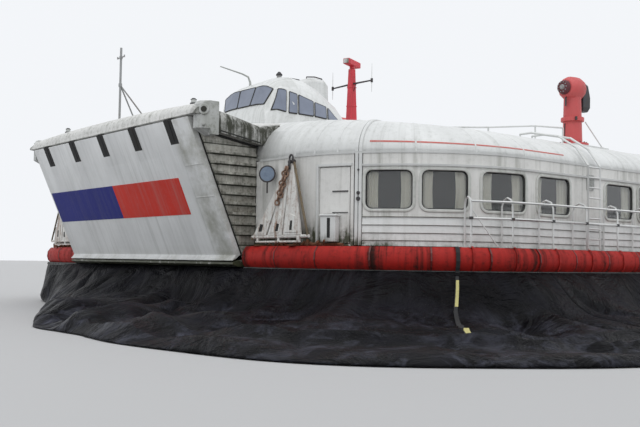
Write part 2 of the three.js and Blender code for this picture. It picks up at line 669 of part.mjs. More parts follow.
// Its glass, one liner just inside the shell
function cabinLiner() {
  const rows = [[6.42, 19.28, 15.17, 2.01, 0.7], [7.38, 18.77, 15.43, 1.73, 0.65]];
  const outer = skin(rows.map((row) => roundedRing(row, CABIN_SKIN + 0.01)));
  const inner = skin(rows.map((row, i) => roundedRing(row, CABIN_SKIN + 0.04).map(
    ([x, y, z]) => [x, y, z + (i ? 0.1 : -0.1)])));
  return cut(outer, [inner]);
}
place('control_cabin_glass', cabinLiner(), 'glass', [0, 0, 0], 0.1);

// Radar mast, tapered and square, with a whip aerial at each end of its crossarm
function radarMast() {
  const post = new THREE.CylinderGeometry(0.13, 0.24, MAST.top - 5.4, 4);
  post.rotateY(Math.PI / 4);
  post.rotateX(Math.PI / 2);
  post.translate(MAST.x, 0, (MAST.top + 5.4) / 2);
  const arm = bar([MAST.x, -1.1, 8.30], [MAST.x, 1.1, 8.30], 0.035);
  const whips = [-1.08, 1.08].map((y) => bar([MAST.x, y, 8.28], [MAST.x, y, 8.95], 0.018));
  return seat(fuse([post, arm, ...whips]));
}
place('radar_mast', radarMast(), 'red');
const SCANNER = { long: 1.30, wide: 0.30, tall: 0.26, lift: 0.18, turn: 24 };
const scanner = new THREE.BoxGeometry(SCANNER.long, SCANNER.wide, SCANNER.tall);
scanner.rotateZ(SCANNER.turn * Math.PI / 180);
scanner.translate(0, 0, SCANNER.lift);
place('radar_scanner', fuse([scanner, bar([0, 0, 0.012], [0, 0, SCANNER.lift], 0.09, 8)]), 'red',
  [MAST.x, 0, MAST.top]);

// Bow mast: a thin pole with a crossbar on a tripod, standing on the roof of the bow box
const BOW_MAST = { x: 24.05, junction: 6.95, cross: 7.80, top: 8.10, legX: 23.10, legY: 0.45, foot: 5.60 };
const bowMast = fuse([
  bar([BOW_MAST.x, 0, BOW_MAST.foot], [BOW_MAST.x, 0, BOW_MAST.top], 0.035),
  ...[-1, 1].map((side) => bar([BOW_MAST.x, 0, BOW_MAST.junction],
    [BOW_MAST.legX, side * BOW_MAST.legY, BOW_MAST.foot], 0.025)),
  bar([BOW_MAST.x, -0.22, BOW_MAST.cross], [BOW_MAST.x, 0.22, BOW_MAST.cross], 0.02),
]);
place('bow_mast', cut(bowMast, [bowRoof.clone().translate(0, 0, GAP)]), 'grey');

// Forward pylons. The propellers are off, and their bare hubs are left.
const PYLON_HEAD = { radius: 0.43, long: 0.20, face: 0.42 };
function pylonBody(height) {
  const column = new THREE.CylinderGeometry(0.29, 0.34, height - 0.1, 12);
  column.rotateX(Math.PI / 2);
  column.translate(0, 0, (height - 0.1) / 2 + 0.1);
  const flange = new THREE.CylinderGeometry(0.55, 0.55, 0.12, 12);
  flange.rotateX(Math.PI / 2);
  flange.translate(0, 0, 0.07);
  const collar = new THREE.CylinderGeometry(0.40, 0.40, 0.14, 12);
  collar.rotateX(Math.PI / 2);
  collar.translate(0, 0, 0.47 * height);
  const head = new THREE.CapsuleGeometry(PYLON_HEAD.radius, PYLON_HEAD.long, 4, 12);
  head.rotateZ(Math.PI / 2);
  head.translate(0, 0, height);
  const ahead = box([PYLON_HEAD.face, 1], [-1, 1], [height - 1, height + 1]);
  return cut(fuse([flange, column, collar, head]), [ahead]);
}

const PYLON_FOOT = 5.78;
const pylonPlinth = seat(box([PYLON.x - 1.0, PYLON.x + 1.0], [PYLON.y - 0.8, PYLON.y + 0.8],
  [5.0, PYLON_FOOT - 0.02]));
const platformRail = rod([
  [16.4, 6.2, 5.30], [16.4, 6.2, 5.80], [14.3, 6.2, 6.02], [11.9, 6.2, 6.32], [10.7, 6.45, 6.35],
], 0.03, 5);
const railPosts = [[14.3, 6.02], [11.9, 6.32]].map(([x, z]) => bar([x, 6.2, 5.2], [x, 6.2, z], 0.03, 5));
const railFoot = bar([10.7, 6.45, 6.35], [10.72, 6.45, 5.70], 0.03, 5);
pair('pylon_platform', fuse([pylonPlinth, ...[...platformRail, ...railPosts, railFoot].map(seat)]), 'white');
pair('forward_pylon', pylonBody(PYLON.hub - PYLON_FOOT), 'red', [PYLON.x, PYLON.y, PYLON_FOOT]);

const BARE_HUB = { radius: 0.26, deep: 0.14 };
const bareHub = new THREE.CylinderGeometry(BARE_HUB.radius - 0.04, BARE_HUB.radius, BARE_HUB.deep, 16);
bareHub.rotateZ(-Math.PI / 2);
pair('forward_hub', bareHub, 'dark',
  [PYLON.x + PYLON_HEAD.face + RUN + BARE_HUB.deep / 2, PYLON.y, PYLON.hub]);

// Aft pylons with their four-bladed propellers
const AFT_FOOT = 5.50;
pair('aft_plinth', seat(box([AFT_PYLON.x - 0.9, AFT_PYLON.x + 0.7], [AFT_PYLON.y - 0.6, AFT_PYLON.y + 0.6],
  [5.0, AFT_FOOT - 0.02])), 'white');

function aftPylon() {
  const height = AFT_PYLON.hub - AFT_FOOT;
  const outline = (long, thick) => [
    [long * 0.5, 0], [long * 0.3, thick * 0.42], [0, thick * 0.5], [-long * 0.3, thick * 0.3],
    [-long * 0.5, 0], [-long * 0.3, -thick * 0.3], [0, -thick * 0.5], [long * 0.3, -thick * 0.42],
  ];
  const column = skin([[0.0, 1.45, 0.80], [height * 0.9, 1.05, 0.62]].map(
    ([z, long, thick]) => outline(long, thick).map(([x, y]) => [x, y, z])));
  const head = new THREE.CapsuleGeometry(0.46, 0.90, 4, 12);
  head.rotateZ(Math.PI / 2);
  head.translate(0, 0, height);
  return fuse([column, head]);
}
pair('aft_pylon', aftPylon(), 'red', [AFT_PYLON.x, AFT_PYLON.y, AFT_FOOT]);

// Blade sections: [distance out, chord, thickness, pitch in degrees]
const BLADE = [[0.10, 0.20, 0.16, 62], [0.8, 0.40, 0.10, 45], [2.2, 0.44, 0.06, 28], [3.2, 0.30, 0.03, 20]];

const BLADE_REST = 8 * Math.PI / 180;
function propeller() {
  const spinner = new THREE.CylinderGeometry(PROP.hub * 0.5, PROP.hub, 0.42, 14);
  spinner.rotateZ(-Math.PI / 2);
  const parts = [spinner];
  for (let i = 0; i < 4; i += 1) {
    const blade = skin(BLADE.map(([out, chord, thick, pitch]) => {
      const a = pitch * Math.PI / 180;
      return [[0.5, 0], [0.15, 0.5], [-0.5, 0], [0.15, -0.5]].map(([c, t]) => {
        const along = c * chord;
        const across = t * thick;
        return [along * Math.sin(a) + across * Math.cos(a), along * Math.cos(a) - across * Math.sin(a), out];
      });
    }));
    blade.rotateX(BLADE_REST + i * Math.PI / 2);
    parts.push(blade);
  }
  return fuse(parts);
}
pair('aft_propeller', propeller(), 'grey', [AFT_PYLON.x + PROP.ahead, AFT_PYLON.y, AFT_PYLON.hub]);

// Fins, each turning whole on a post, with a rudder on its tail
function blade(nose, tail, taper, low, top, thick, bluntTail) {
  const section = (z, shrink) => {
    const [a, b] = [nose - (nose - tail) * shrink, tail];
    const w = thick * (1 - shrink) / 2;
    const end = bluntTail ? w * 0.45 : 0.03;
    return [[a, 0], [a - (a - b) * 0.12, w * 0.8], [a - (a - b) * 0.38, w], [b, end],
      [b, -end], [a - (a - b) * 0.38, -w], [a - (a - b) * 0.12, -w * 0.8]].map(([x, y]) => [x, y, z]);
  };
  return skin([section(low, 0), section(top, taper)]);
}

function fin() {
  const body = blade(FIN.nose - FIN.pivot, FIN.tail - FIN.pivot, 0.3, 0, FIN.top - FIN.low, FIN.thick, true);
  const foot = crown(FIN.y - 0.2) + 0.012 - FIN.low;
  const post = new THREE.CylinderGeometry(0.2, 0.2, 0.3 - foot, 10);
  post.rotateX(Math.PI / 2);
  post.translate(0, 0, (0.3 + foot) / 2);
  return fuse([body, post]);
}
pair('fin', fin(), 'red', [FIN.pivot, FIN.y, FIN.low]);
const rudderTop = FIN.top - FIN.low - 0.25;
pair('rudder', blade(-0.03, RUDDER_TAIL - FIN.tail, 0.25, 0.25, rudderTop, FIN.thick * 0.42, false), 'red',
  [FIN.tail - RUN, FIN.y, FIN.low]);

// Ladders from the side decks over the shoulder to the roof. The run is of [y, z].
const LADDER = {
  x: 15.85, half: 0.27, rail: 0.03, low: 2.35, high: 4.25, rungs: 7,
  run: [[11.12, DECK_Z + GAP], [11.12, 4.30], [10.75, 4.80], [10.2, 5.15], [9.3, 5.34], [8.9, 5.34],
    [8.9, 5.10]],
};
function ladder() {
  const sides = [LADDER.x - LADDER.half, LADDER.x + LADDER.half];
  const rails = sides.flatMap((x) => rod(LADDER.run.map(([y, z]) => [x, y, z]), LADDER.rail, 4));
  const rungs = range(LADDER.low, LADDER.high, LADDER.rungs).map(
    (z) => bar([sides[0], LADDER.run[0][0], z], [sides[1], LADDER.run[0][0], z], 0.022, 4));
  return seat(fuse([...rails, ...rungs]));
}
pair('ladder', ladder(), 'white');

// Side rails: posts along the deck edge, each bent over the walkway into a hoop, and two lines
const RAIL = { line: 0.10, top: 3.14, mid: 2.74, radius: 0.027, end: 6.8 };
const RAIL_POSTS = { turns: [62.4, 76.5], first: 18.0, step: 1.4, count: 9 };
const HOOP = { wide: 0.42, bend: 3.05, steps: 4 };

// A square tube along a flat path, whose plane faces along flat
function tube(path, radius, flat) {
  const points = path.map((p) => new THREE.Vector3(...p));
  const facing = new THREE.Vector3(...flat);
  return skin(points.map((p, i) => {
    const before = points[Math.max(i - 1, 0)];
    const after = points[Math.min(i + 1, points.length - 1)];
    const along = after.clone().sub(before).normalize();
    const side = new THREE.Vector3().crossVectors(facing, along).multiplyScalar(radius);
    const face = facing.clone().multiplyScalar(radius);
    return [side, face, side.clone().negate(), face.clone().negate()].map(
      (offset) => p.clone().add(offset).toArray());
  }));
}

function sideRail() {
  const posts = [
    ...RAIL_POSTS.turns.map((turn) => {
      const a = turn * Math.PI / 180;
      const [nx, ny] = [Math.cos(a), Math.sin(a)];
      const x = HULL.front - HULL.bowRound + HULL.bowRound * nx;
      return { x, y: HULL.half - HULL.bowRound + HULL.bowRound * ny, nx, ny };
    }),
    ...range(0, RAIL_POSTS.count - 1, RAIL_POSTS.count - 1).map(
      (i) => ({ x: RAIL_POSTS.first - RAIL_POSTS.step * i, y: HULL.half, nx: 0, ny: 1 })),
  ];
  const line = posts.map((s) => outward(s, -RAIL.line));
  const lines = [RAIL.top, RAIL.mid].map((z) => tube(line.map(([x, y]) => [x, y, z]), RAIL.radius, [0, 0, 1]));
  const hoops = posts.map((s) => {
    const arc = range(0, 180, HOOP.steps).map((turn) => {
      const a = turn * Math.PI / 180;
      const d = -RAIL.line - HOOP.wide / 2 * (1 - Math.cos(a));
      return [...outward(s, d), HOOP.bend + HOOP.wide / 2 * Math.sin(a)];
    });
    const foot = (d) => [...outward(s, d), DECK_Z + GAP];
    return tube([foot(-RAIL.line), ...arc, foot(-RAIL.line - HOOP.wide)], RAIL.radius, [s.ny, -s.nx, 0]);
  });
  return fuse([...lines, ...hoops]);
}
pair('side_rail', sideRail(), 'white');

// Lifting frames on the bow corners: an A on a base bar, laid back against the wall
function liftingFrame() {
  const [w, h] = [0.95, 2.05];
  return fuse([
    box([-0.05, 0.05], [-w, w], [-0.05, 0.05]),
    bar([0, -w + 0.06, 0], [-0.12, 0.02, h], 0.06, 6),
    bar([0, w - 0.06, 0], [-0.12, -0.02, h], 0.06, 6),
    box([-0.19, -0.06], [-0.10, 0.10], [h - 0.12, h + 0.1]),
  ]);
}
pair('lifting_frame', liftingFrame(), 'white', [22.84, 6.50, 2.16]);

export default craft;
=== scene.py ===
# Half-size model of a large car-carrying hovercraft, retired and parked with its skirt let down.
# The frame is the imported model: +X forward to the bow, +Y to port, +Z up, in metres at 1:2. Sizes
# in the sections below are the real craft's, in metres, and REAL turns them into the model's.

import json
import math
import bmesh
import bpy
from mathutils import Matrix, Vector, noise

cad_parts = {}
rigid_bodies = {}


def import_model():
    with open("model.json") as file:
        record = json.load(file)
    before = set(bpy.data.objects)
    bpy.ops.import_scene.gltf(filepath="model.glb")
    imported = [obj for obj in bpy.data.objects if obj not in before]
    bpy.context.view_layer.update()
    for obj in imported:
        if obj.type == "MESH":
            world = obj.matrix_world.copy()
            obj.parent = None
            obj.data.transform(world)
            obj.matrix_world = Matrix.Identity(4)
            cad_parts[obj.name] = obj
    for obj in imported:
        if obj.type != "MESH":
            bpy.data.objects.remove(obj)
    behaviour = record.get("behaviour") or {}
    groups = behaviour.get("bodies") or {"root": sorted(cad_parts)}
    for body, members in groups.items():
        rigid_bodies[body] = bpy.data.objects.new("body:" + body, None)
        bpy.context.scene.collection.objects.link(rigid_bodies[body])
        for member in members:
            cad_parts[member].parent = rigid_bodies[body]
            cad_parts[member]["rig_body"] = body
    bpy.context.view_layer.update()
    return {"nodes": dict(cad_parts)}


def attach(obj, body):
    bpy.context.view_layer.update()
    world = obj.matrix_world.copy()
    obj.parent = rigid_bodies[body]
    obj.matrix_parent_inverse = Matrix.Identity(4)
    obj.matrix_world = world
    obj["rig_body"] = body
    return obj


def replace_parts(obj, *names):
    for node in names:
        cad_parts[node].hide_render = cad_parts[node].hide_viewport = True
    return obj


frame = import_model()
NODES = frame["nodes"]
REAL = 0.5

# Camera, floor and sky
# The camera stands at eye height off the port bow, where the photograph was taken. The floor is a
# pale studio floor, and the light is an even overcast sky with a broad soft sun behind the camera.
CAMERA_AT = Vector((18.15, 12.4, 0.85))
AHEAD = Vector((-0.631, -0.776, 0.0))
PITCH = math.radians(3.01)
ROLL = math.radians(0.8)
UP = Vector((0, 0, 1))
FLOOR_HALF = 160.0

level_right = Vector((AHEAD.y, -AHEAD.x, 0.0))
look = (AHEAD * math.cos(PITCH) + UP * math.sin(PITCH)).normalized()
level_up = level_right.cross(look)
right = level_right * math.cos(ROLL) + level_up * math.sin(ROLL)
up = level_up * math.cos(ROLL) - level_right * math.sin(ROLL)
camera = bpy.data.objects.new("camera", bpy.data.cameras.new("camera"))
camera.data.lens = 50.2
camera.data.sensor_width = 36.0
camera.data.clip_end = 500.0
camera.matrix_world = Matrix.Translation(CAMERA_AT) @ Matrix((right, up, -look)).transposed().to_4x4()
bpy.context.scene.collection.objects.link(camera)
bpy.context.scene.camera = camera

sky = bpy.data.worlds.new("overcast")
sky.use_nodes = True
sky.node_tree.nodes["Background"].inputs["Color"].default_value = (0.90, 0.92, 0.95, 1.0)
sky.node_tree.nodes["Background"].inputs["Strength"].default_value = 1.0
bpy.context.scene.world = sky
bpy.context.scene.view_settings.view_transform = "Standard"

sun = bpy.data.objects.new("soft_sun", bpy.data.lights.new("soft_sun", "SUN"))
sun.data.energy = 1.1
sun.data.angle = 1.2
sun.rotation_euler = Vector((-0.25, -0.35, -1.0)).to_track_quat("-Z", "Y").to_euler()
bpy.context.scene.collection.objects.link(sun)


def shade(tree, kind, links=None, **settings):
    """Add a shader node. Links are {socket: value or socket}, and settings are its own options."""
    node = tree.nodes.new("ShaderNode" + kind)
    for name, value in settings.items():
        setattr(node, name, value)
    for name, value in (links or {}).items():
        if isinstance(value, bpy.types.NodeSocket):
            tree.links.new(value, node.inputs[name])
        else:
            node.inputs[name].default_value = value
    return node


def noisy(tree, where=None, scale=5.0, detail=2.0, rough=0.5, warp=0.0):
    """Noise between 0 and 1."""
    links = {"Scale": scale, "Detail": detail, "Roughness": rough, "Distortion": warp}
    return shade(tree, "TexNoise", links | ({"Vector": where} if where is not None else {})).outputs["Fac"]


def ranged(tree, value, low=0.0, high=1.0, to_low=0.0, to_high=1.0):
    """A value carried over from one range to another, and held within it."""
    return shade(tree, "MapRange", {"Value": value, "From Min": low, "From Max": high, "To Min": to_low,
                                    "To Max": to_high}).outputs[0]


def new_material(name, **values):
    """A material with an empty node tree but for its output and its shader, with values set on it."""
    finish = bpy.data.materials.new(name)
    finish.use_nodes = True
    shader = finish.node_tree.nodes["Principled BSDF"]
    for label, value in values.items():
        shader.inputs[label.replace("_", " ")].default_value = value
    return finish, finish.node_tree, shader


def settle(bm, name, finish, body="hull", smooth=False, sharp=None, scale=REAL, closed=True):
    """Turn a bmesh in real metres into a piece of the model that rides on a body. A piece with a
    sharp angle is smooth but where its faces meet at more than that angle."""
    if closed:
        bmesh.ops.recalc_face_normals(bm, faces=bm.faces)
    bmesh.ops.scale(bm, vec=(scale, scale, scale), verts=bm.verts)
    mesh = bpy.data.meshes.new(name)
    bm.to_mesh(mesh)
    bm.free()
    for polygon in mesh.polygons:
        polygon.use_smooth = smooth or bool(sharp)
    mesh.materials.append(finish)
    piece = bpy.data.objects.new(name, mesh)
    bpy.context.scene.collection.objects.link(piece)
    if body:
        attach(piece, body)
    if sharp:
        mesh.set_sharp_from_angle(angle=math.radians(sharp))
    return piece


floor_finish, tree, shader = new_material("pale_floor", Roughness=0.75)
tree.links.new(ranged(tree, noisy(tree, None, 0.35, 5.0), 0, 1, 0.40, 0.47), shader.inputs["Base Color"])
bm = bmesh.new()
bmesh.ops.create_grid(bm, x_segments=1, y_segments=1, size=FLOOR_HALF)
floor = settle(bm, "floor", floor_finish, body=None, scale=1.0, closed=False)

# Weathered paint
# The hull is glass-fibre and alloy panels in white gloss paint that has stood outdoors for years.
# Rain has run green and black down it, so the dirt follows the walls round the corners.
CABIN = {"front": 22.60, "rear": -25.30, "half": 10.90, "bow": 4.30, "stern": 2.60}
MOSS = (0.085, 0.095, 0.055)
FOOT_RIB, RIB_STEP = 2.415, 0.262


def new_group(name, inputs, outputs):
    """A shader node group with named inputs (name: default) and outputs (name: socket type)."""
    group = bpy.data.node_groups.new(name, "ShaderNodeTree")
    for label, default in inputs.items():
        kind = "NodeSocketColor" if isinstance(default, tuple) else "NodeSocketFloat"
        group.interface.new_socket(label, in_out="INPUT", socket_type=kind).default_value = default
    for label, kind in outputs.items():
        group.interface.new_socket(label, in_out="OUTPUT", socket_type="NodeSocket" + kind)
    return group, group.nodes.new("NodeGroupInput").outputs, group.nodes.new("NodeGroupOutput").inputs


def figure(tree, operation, *values, clamp=False):
    """One operation worked on values or sockets, from the first to the last."""
    total = values[0]
    for value in values[1:] or (0.0,):
        node = shade(tree, "Math", {0: total, 1: value}, operation=operation)
        total = node.outputs[0]
    node.use_clamp = clamp
    return total


def times(tree, *values, clamp=False):
    """Values or sockets multiplied together."""
    return figure(tree, "MULTIPLY", *values, clamp=clamp)


def plus(tree, *values, clamp=False):
    """Values or sockets added up."""
    return figure(tree, "ADD", *values, clamp=clamp)


def mixed(tree, share, near, far):
    """A colour part of the way from one to another."""
    return shade(tree, "Mix", {"Factor": share, 6: near, 7: far}, data_type="RGBA").outputs[2]


def located(tree):
    """Where a point of the surface lies, whole and as X, Y and Z."""
    here = shade(tree, "TexCoord").outputs["Object"]
    return here, *shade(tree, "SeparateXYZ", {"Vector": here}).outputs


def build_rain_run():
    """Coordinates that follow the walls round: rain runs along the last of Down, and Round is the
    way round the cabin's plan in real metres from where the bow corner starts."""
    group, _, results = new_group("rain_run", {}, {"Down": "Vector", "Round": "Float"})
    _, x, y, z = located(group)
    corner_x = (CABIN["front"] - CABIN["bow"]) * REAL
    corner_y = (CABIN["half"] - CABIN["bow"]) * REAL
    across = figure(group, "ABSOLUTE", y)
    base_x = figure(group, "MINIMUM", x, corner_x)
    base_y = figure(group, "MINIMUM", across, corner_y)
    past_x = figure(group, "SUBTRACT", x, base_x)
    past_y = figure(group, "SUBTRACT", across, base_y)
    past = shade(group, "CombineXYZ", {"X": past_x, "Y": past_y})
    out = shade(group, "VectorMath", {0: past.outputs[0]}, operation="NORMALIZE")
    arc = shade(group, "VectorMath", {0: out.outputs[0], "Scale": CABIN["bow"] * REAL}, operation="SCALE")
    arc_x, arc_y, _ = shade(group, "SeparateXYZ", {"Vector": arc.outputs[0]}).outputs
    wall_y = times(group, plus(group, base_y, arc_y), figure(group, "SIGN", y))
    down = shade(group, "CombineXYZ", {"X": plus(group, base_x, arc_x), "Y": wall_y, "Z": times(group, z, 0.06)})
    aft = figure(group, "SUBTRACT", corner_x, base_x)
    inboard = figure(group, "SUBTRACT", corner_y, base_y)
    straight = times(group, figure(group, "SUBTRACT", aft, inboard), 1 / REAL)
    round_arc = times(group, figure(group, "ARCTAN2", past_y, past_x), CABIN["bow"])
    group.links.new(down.outputs[0], results["Down"])
    group.links.new(plus(group, straight, round_arc), results["Round"])
    return group


def build_weather():
    """Paint with rain streaks, speckle, patchy tone and a faint chalky bump."""
    group, given, results = new_group(
        "weather", {"Paint": (0.8, 0.8, 0.8, 1), "Grime": (0.1, 0.11, 0.07, 1), "Streaks": 0.5,
                    "Speckle": 0.3, "Fine": 1.0, "Dull": 0.4},
        {"Color": "Color", "Roughness": "Float", "Height": "Float"})
    rain = shade(group, "Group", node_tree=RAIN_RUN).outputs["Down"]
    here = located(group)[0]
    streak = ranged(group, noisy(group, rain, times(group, given["Fine"], 9.0), 5.0, 0.62), 0.46, 0.72)
    where = ranged(group, noisy(group, rain, 1.1), 0.32, 0.62)
    spots = ranged(group, noisy(group, here, 14.0, 8.0, 0.75), 0.50, 0.74)
    dirt = plus(group, times(group, streak, where, given["Streaks"]), times(group, spots, given["Speckle"]),
                clamp=True)
    patch = noisy(group, here, 1.7, 4.0)
    tone = ranged(group, patch, 0.3, 0.7, 0.90, 1.04)
    toned = shade(group, "VectorMath", {0: given["Paint"], "Scale": tone}, operation="SCALE").outputs[0]
    group.links.new(mixed(group, dirt, toned, given["Grime"]), results["Color"])
    group.links.new(plus(group, times(group, dirt, 0.35), given["Dull"], clamp=True), results["Roughness"])
    group.links.new(plus(group, times(group, spots, 0.25), patch), results["Height"])
    return group


def build_foot_dirt():
    """Dirt dried on along the foot of a wall between two levels, heaviest round the bow corners."""
    group, given, results = new_group(
        "foot_dirt", {"Color": (0.8, 0.8, 0.8, 1), "Dirt": (0.05, 0.055, 0.030, 1), "Low": 2.05, "High": 2.9,
                      "Amount": 1.0}, {"Color": "Color"})
    rain = shade(group, "Group", node_tree=RAIN_RUN).outputs
    here, _, _, level = located(group)
    rise = ranged(group, level, times(group, given["High"], REAL), times(group, given["Low"], REAL))
    streak = ranged(group, noisy(group, rain["Down"], 15.0, 6.0, 0.7), 0.36, 0.62)
    blot = ranged(group, noisy(group, here, 9.0, 9.0, 0.72), 0.36, 0.62, 0.25, 1.3)
    near = ranged(group, rain["Round"], 3.6, 2.5, 0.38, 1.0)
    mask = times(group, plus(group, times(group, rise, 0.75), streak), figure(group, "POWER", rise, 1.4),
                 blot, near, given["Amount"], clamp=True)
    group.links.new(mixed(group, mask, given["Color"], given["Dirt"]), results["Color"])
    return group


def build_box_dirt_and_rib_shadows():
    """Black-green runs down the flanks of the bow box, with a painted shadow line under each rib."""
    group, given, results = new_group(
        "box_dirt_and_rib_shadows", {"Color": (0.8, 0.8, 0.8, 1), "Dirt": (0.030, 0.032, 0.020, 1), "Amount": 0.8, "Lines": 0.0},
        {"Color": "Color"})
    here, _, _, level = located(group)
    drawn = shade(group, "VectorMath", {0: here, 1: (1.0, 1.0, 0.07)}, operation="MULTIPLY").outputs[0]
    streak = ranged(group, noisy(group, drawn, 13.0, 7.0, 0.72), 0.40, 0.62)
    blot = ranged(group, noisy(group, here, 6.0, 9.0, 0.75), 0.34, 0.62)
    mask = times(group, plus(group, times(group, streak, 0.75), times(group, blot, 0.55)), given["Amount"])
    # Painted shadow: a dark band at the foot of each rib's step, as strong as Lines.
    ribs = times(group, figure(group, "SUBTRACT", level, FOOT_RIB * REAL), 1 / (RIB_STEP * REAL))
    share = figure(group, "FRACT", ribs)
    line = times(group, ranged(group, share, 0.60, 0.70), ranged(group, share, 0.71, 0.76, 1.0, 0.12),
                 plus(group, blot, 0.45), given["Lines"])
    mask = plus(group, mask, line, clamp=True)
    group.links.new(mixed(group, mask, given["Color"], given["Dirt"]), results["Color"])
    return group


RAIN_RUN = build_rain_run()
WEATHER = build_weather()
FOOT_DIRT = build_foot_dirt()
BOX_DIRT_AND_RIB_SHADOWS = build_box_dirt_and_rib_shadows()


def painted(name, paint, grime=MOSS, streaks=0.5, speckle=0.3, fine=1.0, dull=0.4, bump=0.12, gloss=0.5):
    """Weathered gloss paint."""
    finish, tree, shader = new_material(name, Specular_IOR_Level=gloss)
    weather = shade(tree, "Group", {"Paint": (*paint, 1), "Grime": (*grime, 1), "Streaks": streaks,
                                    "Speckle": speckle, "Fine": fine, "Dull": dull}, node_tree=WEATHER).outputs
    relief = shade(tree, "Bump", {"Height": weather["Height"], "Strength": bump, "Distance": 0.01})
    tree.links.new(weather["Color"], shader.inputs["Base Color"])
    tree.links.new(weather["Roughness"], shader.inputs["Roughness"])
    tree.links.new(relief.outputs[0], shader.inputs["Normal"])
    return finish


def base_colour(finish):
    """The tree of a finish, the colour that it has so far and the socket that takes it."""
    socket = finish.node_tree.nodes["Principled BSDF"].inputs["Base Color"]
    return finish.node_tree, socket.links[0].from_socket, socket


def layered(finish, group, **values):
    """Lay one of the dirt groups over what already colours a finish; the bow box's group also paints shadow under its
    ribs.
    """
    tree, colour, socket = base_colour(finish)
    dirt = shade(tree, "Group", {"Color": colour, **values}, node_tree=group)
    tree.links.new(dirt.outputs["Color"], socket)
    return finish


def dress(finish, *names):
    """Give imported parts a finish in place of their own."""
    for name in names:
        NODES[name].data.materials.clear()
        NODES[name].data.materials.append(finish)


def ease(piece, width, segments=2, angle=35.0, harden=False):
    """Ease a piece's edges as far as width, in real metres."""
    bevel = piece.modifiers.new("eased_edges", "BEVEL")
    bevel.width = width * REAL
    bevel.segments = segments
    bevel.limit_method = "ANGLE"
    bevel.angle_limit = math.radians(angle)
    bevel.harden_normals = harden


def soften(finish, *names, edge=0.012, flat=35.0):
    """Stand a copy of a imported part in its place, with its facets smoothed where they make a curve
    and its edges eased as far as edge, in real metres."""
    for name in names:
        bm = bmesh.new()
        bm.from_mesh(NODES[name].data)
        bmesh.ops.remove_doubles(bm, verts=bm.verts, dist=2e-5)
        bmesh.ops.dissolve_limit(bm, angle_limit=math.radians(0.4), verts=bm.verts, edges=bm.edges)
        piece = settle(bm, f"{name}_finished", finish, NODES[name]["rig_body"], sharp=flat,
                       scale=1.0, closed=False)
        if edge:
            ease(piece, edge, angle=flat, harden=True)
        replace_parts(piece, name)


def both(*names):
    """The port and starboard names of paired parts."""
    return [f"{name}_{side}" for name in names for side in ("port", "starboard")]


hull_white = layered(painted("hull_white", (0.71, 0.705, 0.68), streaks=0.75, speckle=0.18), FOOT_DIRT, Amount=1.5)
# The ribbed flanks carry black-green runs and a painted shadow under each rib.
ribbed_white = layered(painted("ribbed_white", (0.60, 0.59, 0.53), (0.10, 0.075, 0.045), 0.6, 0.8, fine=1.5,
                               dull=0.55), BOX_DIRT_AND_RIB_SHADOWS, Amount=0.55, Lines=1.7)
roof_white = painted("roof_white", (0.66, 0.67, 0.66), streaks=0.35, speckle=0.25)
trim_white = layered(painted("trim_white", (0.66, 0.67, 0.66), streaks=0.2, speckle=0.14), FOOT_DIRT, High=2.5,
                     Amount=0.9)
band_red = painted("band_red", (0.36, 0.016, 0.012), (0.030, 0.010, 0.008), 1.5, 0.7, fine=1.4, dull=0.55, gloss=0.2)
faded_red = painted("faded_red", (0.56, 0.085, 0.085), (0.25, 0.10, 0.08), dull=0.5)
deck_grey = painted("deck_grey", (0.20, 0.21, 0.20), streaks=0.3, speckle=0.7, dull=0.7)
raft_grey = painted("raft_grey", (0.16, 0.165, 0.17), streaks=0.6, speckle=0.5, dull=0.6)
steel = painted("worn_steel", (0.30, 0.31, 0.31), (0.12, 0.05, 0.02), 0.6, 0.5, dull=0.45)
dark_iron = painted("dark_iron", (0.035, 0.036, 0.04), (0.09, 0.04, 0.02), 0.5, 0.5, dull=0.5)
hub_red = painted("hub_red", (0.11, 0.022, 0.028), (0.02, 0.02, 0.02), 0.5, 0.6, dull=0.6)
soften(hull_white, *both("bow_wall", "crew_door"), "bow_sill", "stern_door")
soften(ribbed_white, *both("bow_side"))
soften(roof_white, *both("pylon_platform", "aft_plinth"))
soften(trim_white, *both("side_rail", "ladder"), edge=0.016, flat=50.0)
soften(band_red, *both("deck_edge"), edge=0)
soften(faded_red, *both("forward_pylon", "aft_pylon", "fin", "rudder"), edge=0.02)
soften(deck_grey, "bow_ramp", "stern_ramp")
soften(steel, "bow_mast", edge=0.008)
soften(hub_red, *both("forward_hub"), edge=0.02)
dress(deck_grey, *both("side_deck"))
dress(raft_grey, "hull_raft", "stern_sill")
dress(dark_iron, *both("engine_block"))

# Window glass
# Toughened panes, tinted by age. The panes of each side stand behind the cabin wall and follow it
# round the bow corner.


def mottled(name, dark, light, scale, detail=2.0, haze=None, **values):
    """A material with a noise that runs from a dark to a light tone. Haze gives the ends of its
    roughness."""
    finish, tree, shader = new_material(name, **values)
    film = noisy(tree, located(tree)[0], scale, detail)
    tone = shade(tree, "ValToRGB", {"Fac": film})
    for element, colour in zip(tone.color_ramp.elements, (dark, light)):
        element.color = (*colour, 1)
    tree.links.new(tone.outputs["Color"], shader.inputs["Base Color"])
    if haze:
        tree.links.new(ranged(tree, film, 0, 1, *haze), shader.inputs["Roughness"])
    return finish


glass = mottled("window_glass", (0.84, 0.87, 0.87), (0.93, 0.95, 0.95), 5.0, 4.0, haze=(0.04, 0.16),
                Transmission_Weight=0.96, IOR=1.45)

# Skirt
# Rubberised nylon cloth that hangs from under the red band. The air is out of it, so it falls
# steeply and then runs out over the ground in slack folds, furthest at the port bow. Its six
# lengths are laced together at the corners.
HULL = {"front": 22.95, "rear": -25.80, "half": 11.50, "bow": 4.60, "stern": 3.00}
SKIRT_TOP = 1.49
CLOTH_THICK = 0.016
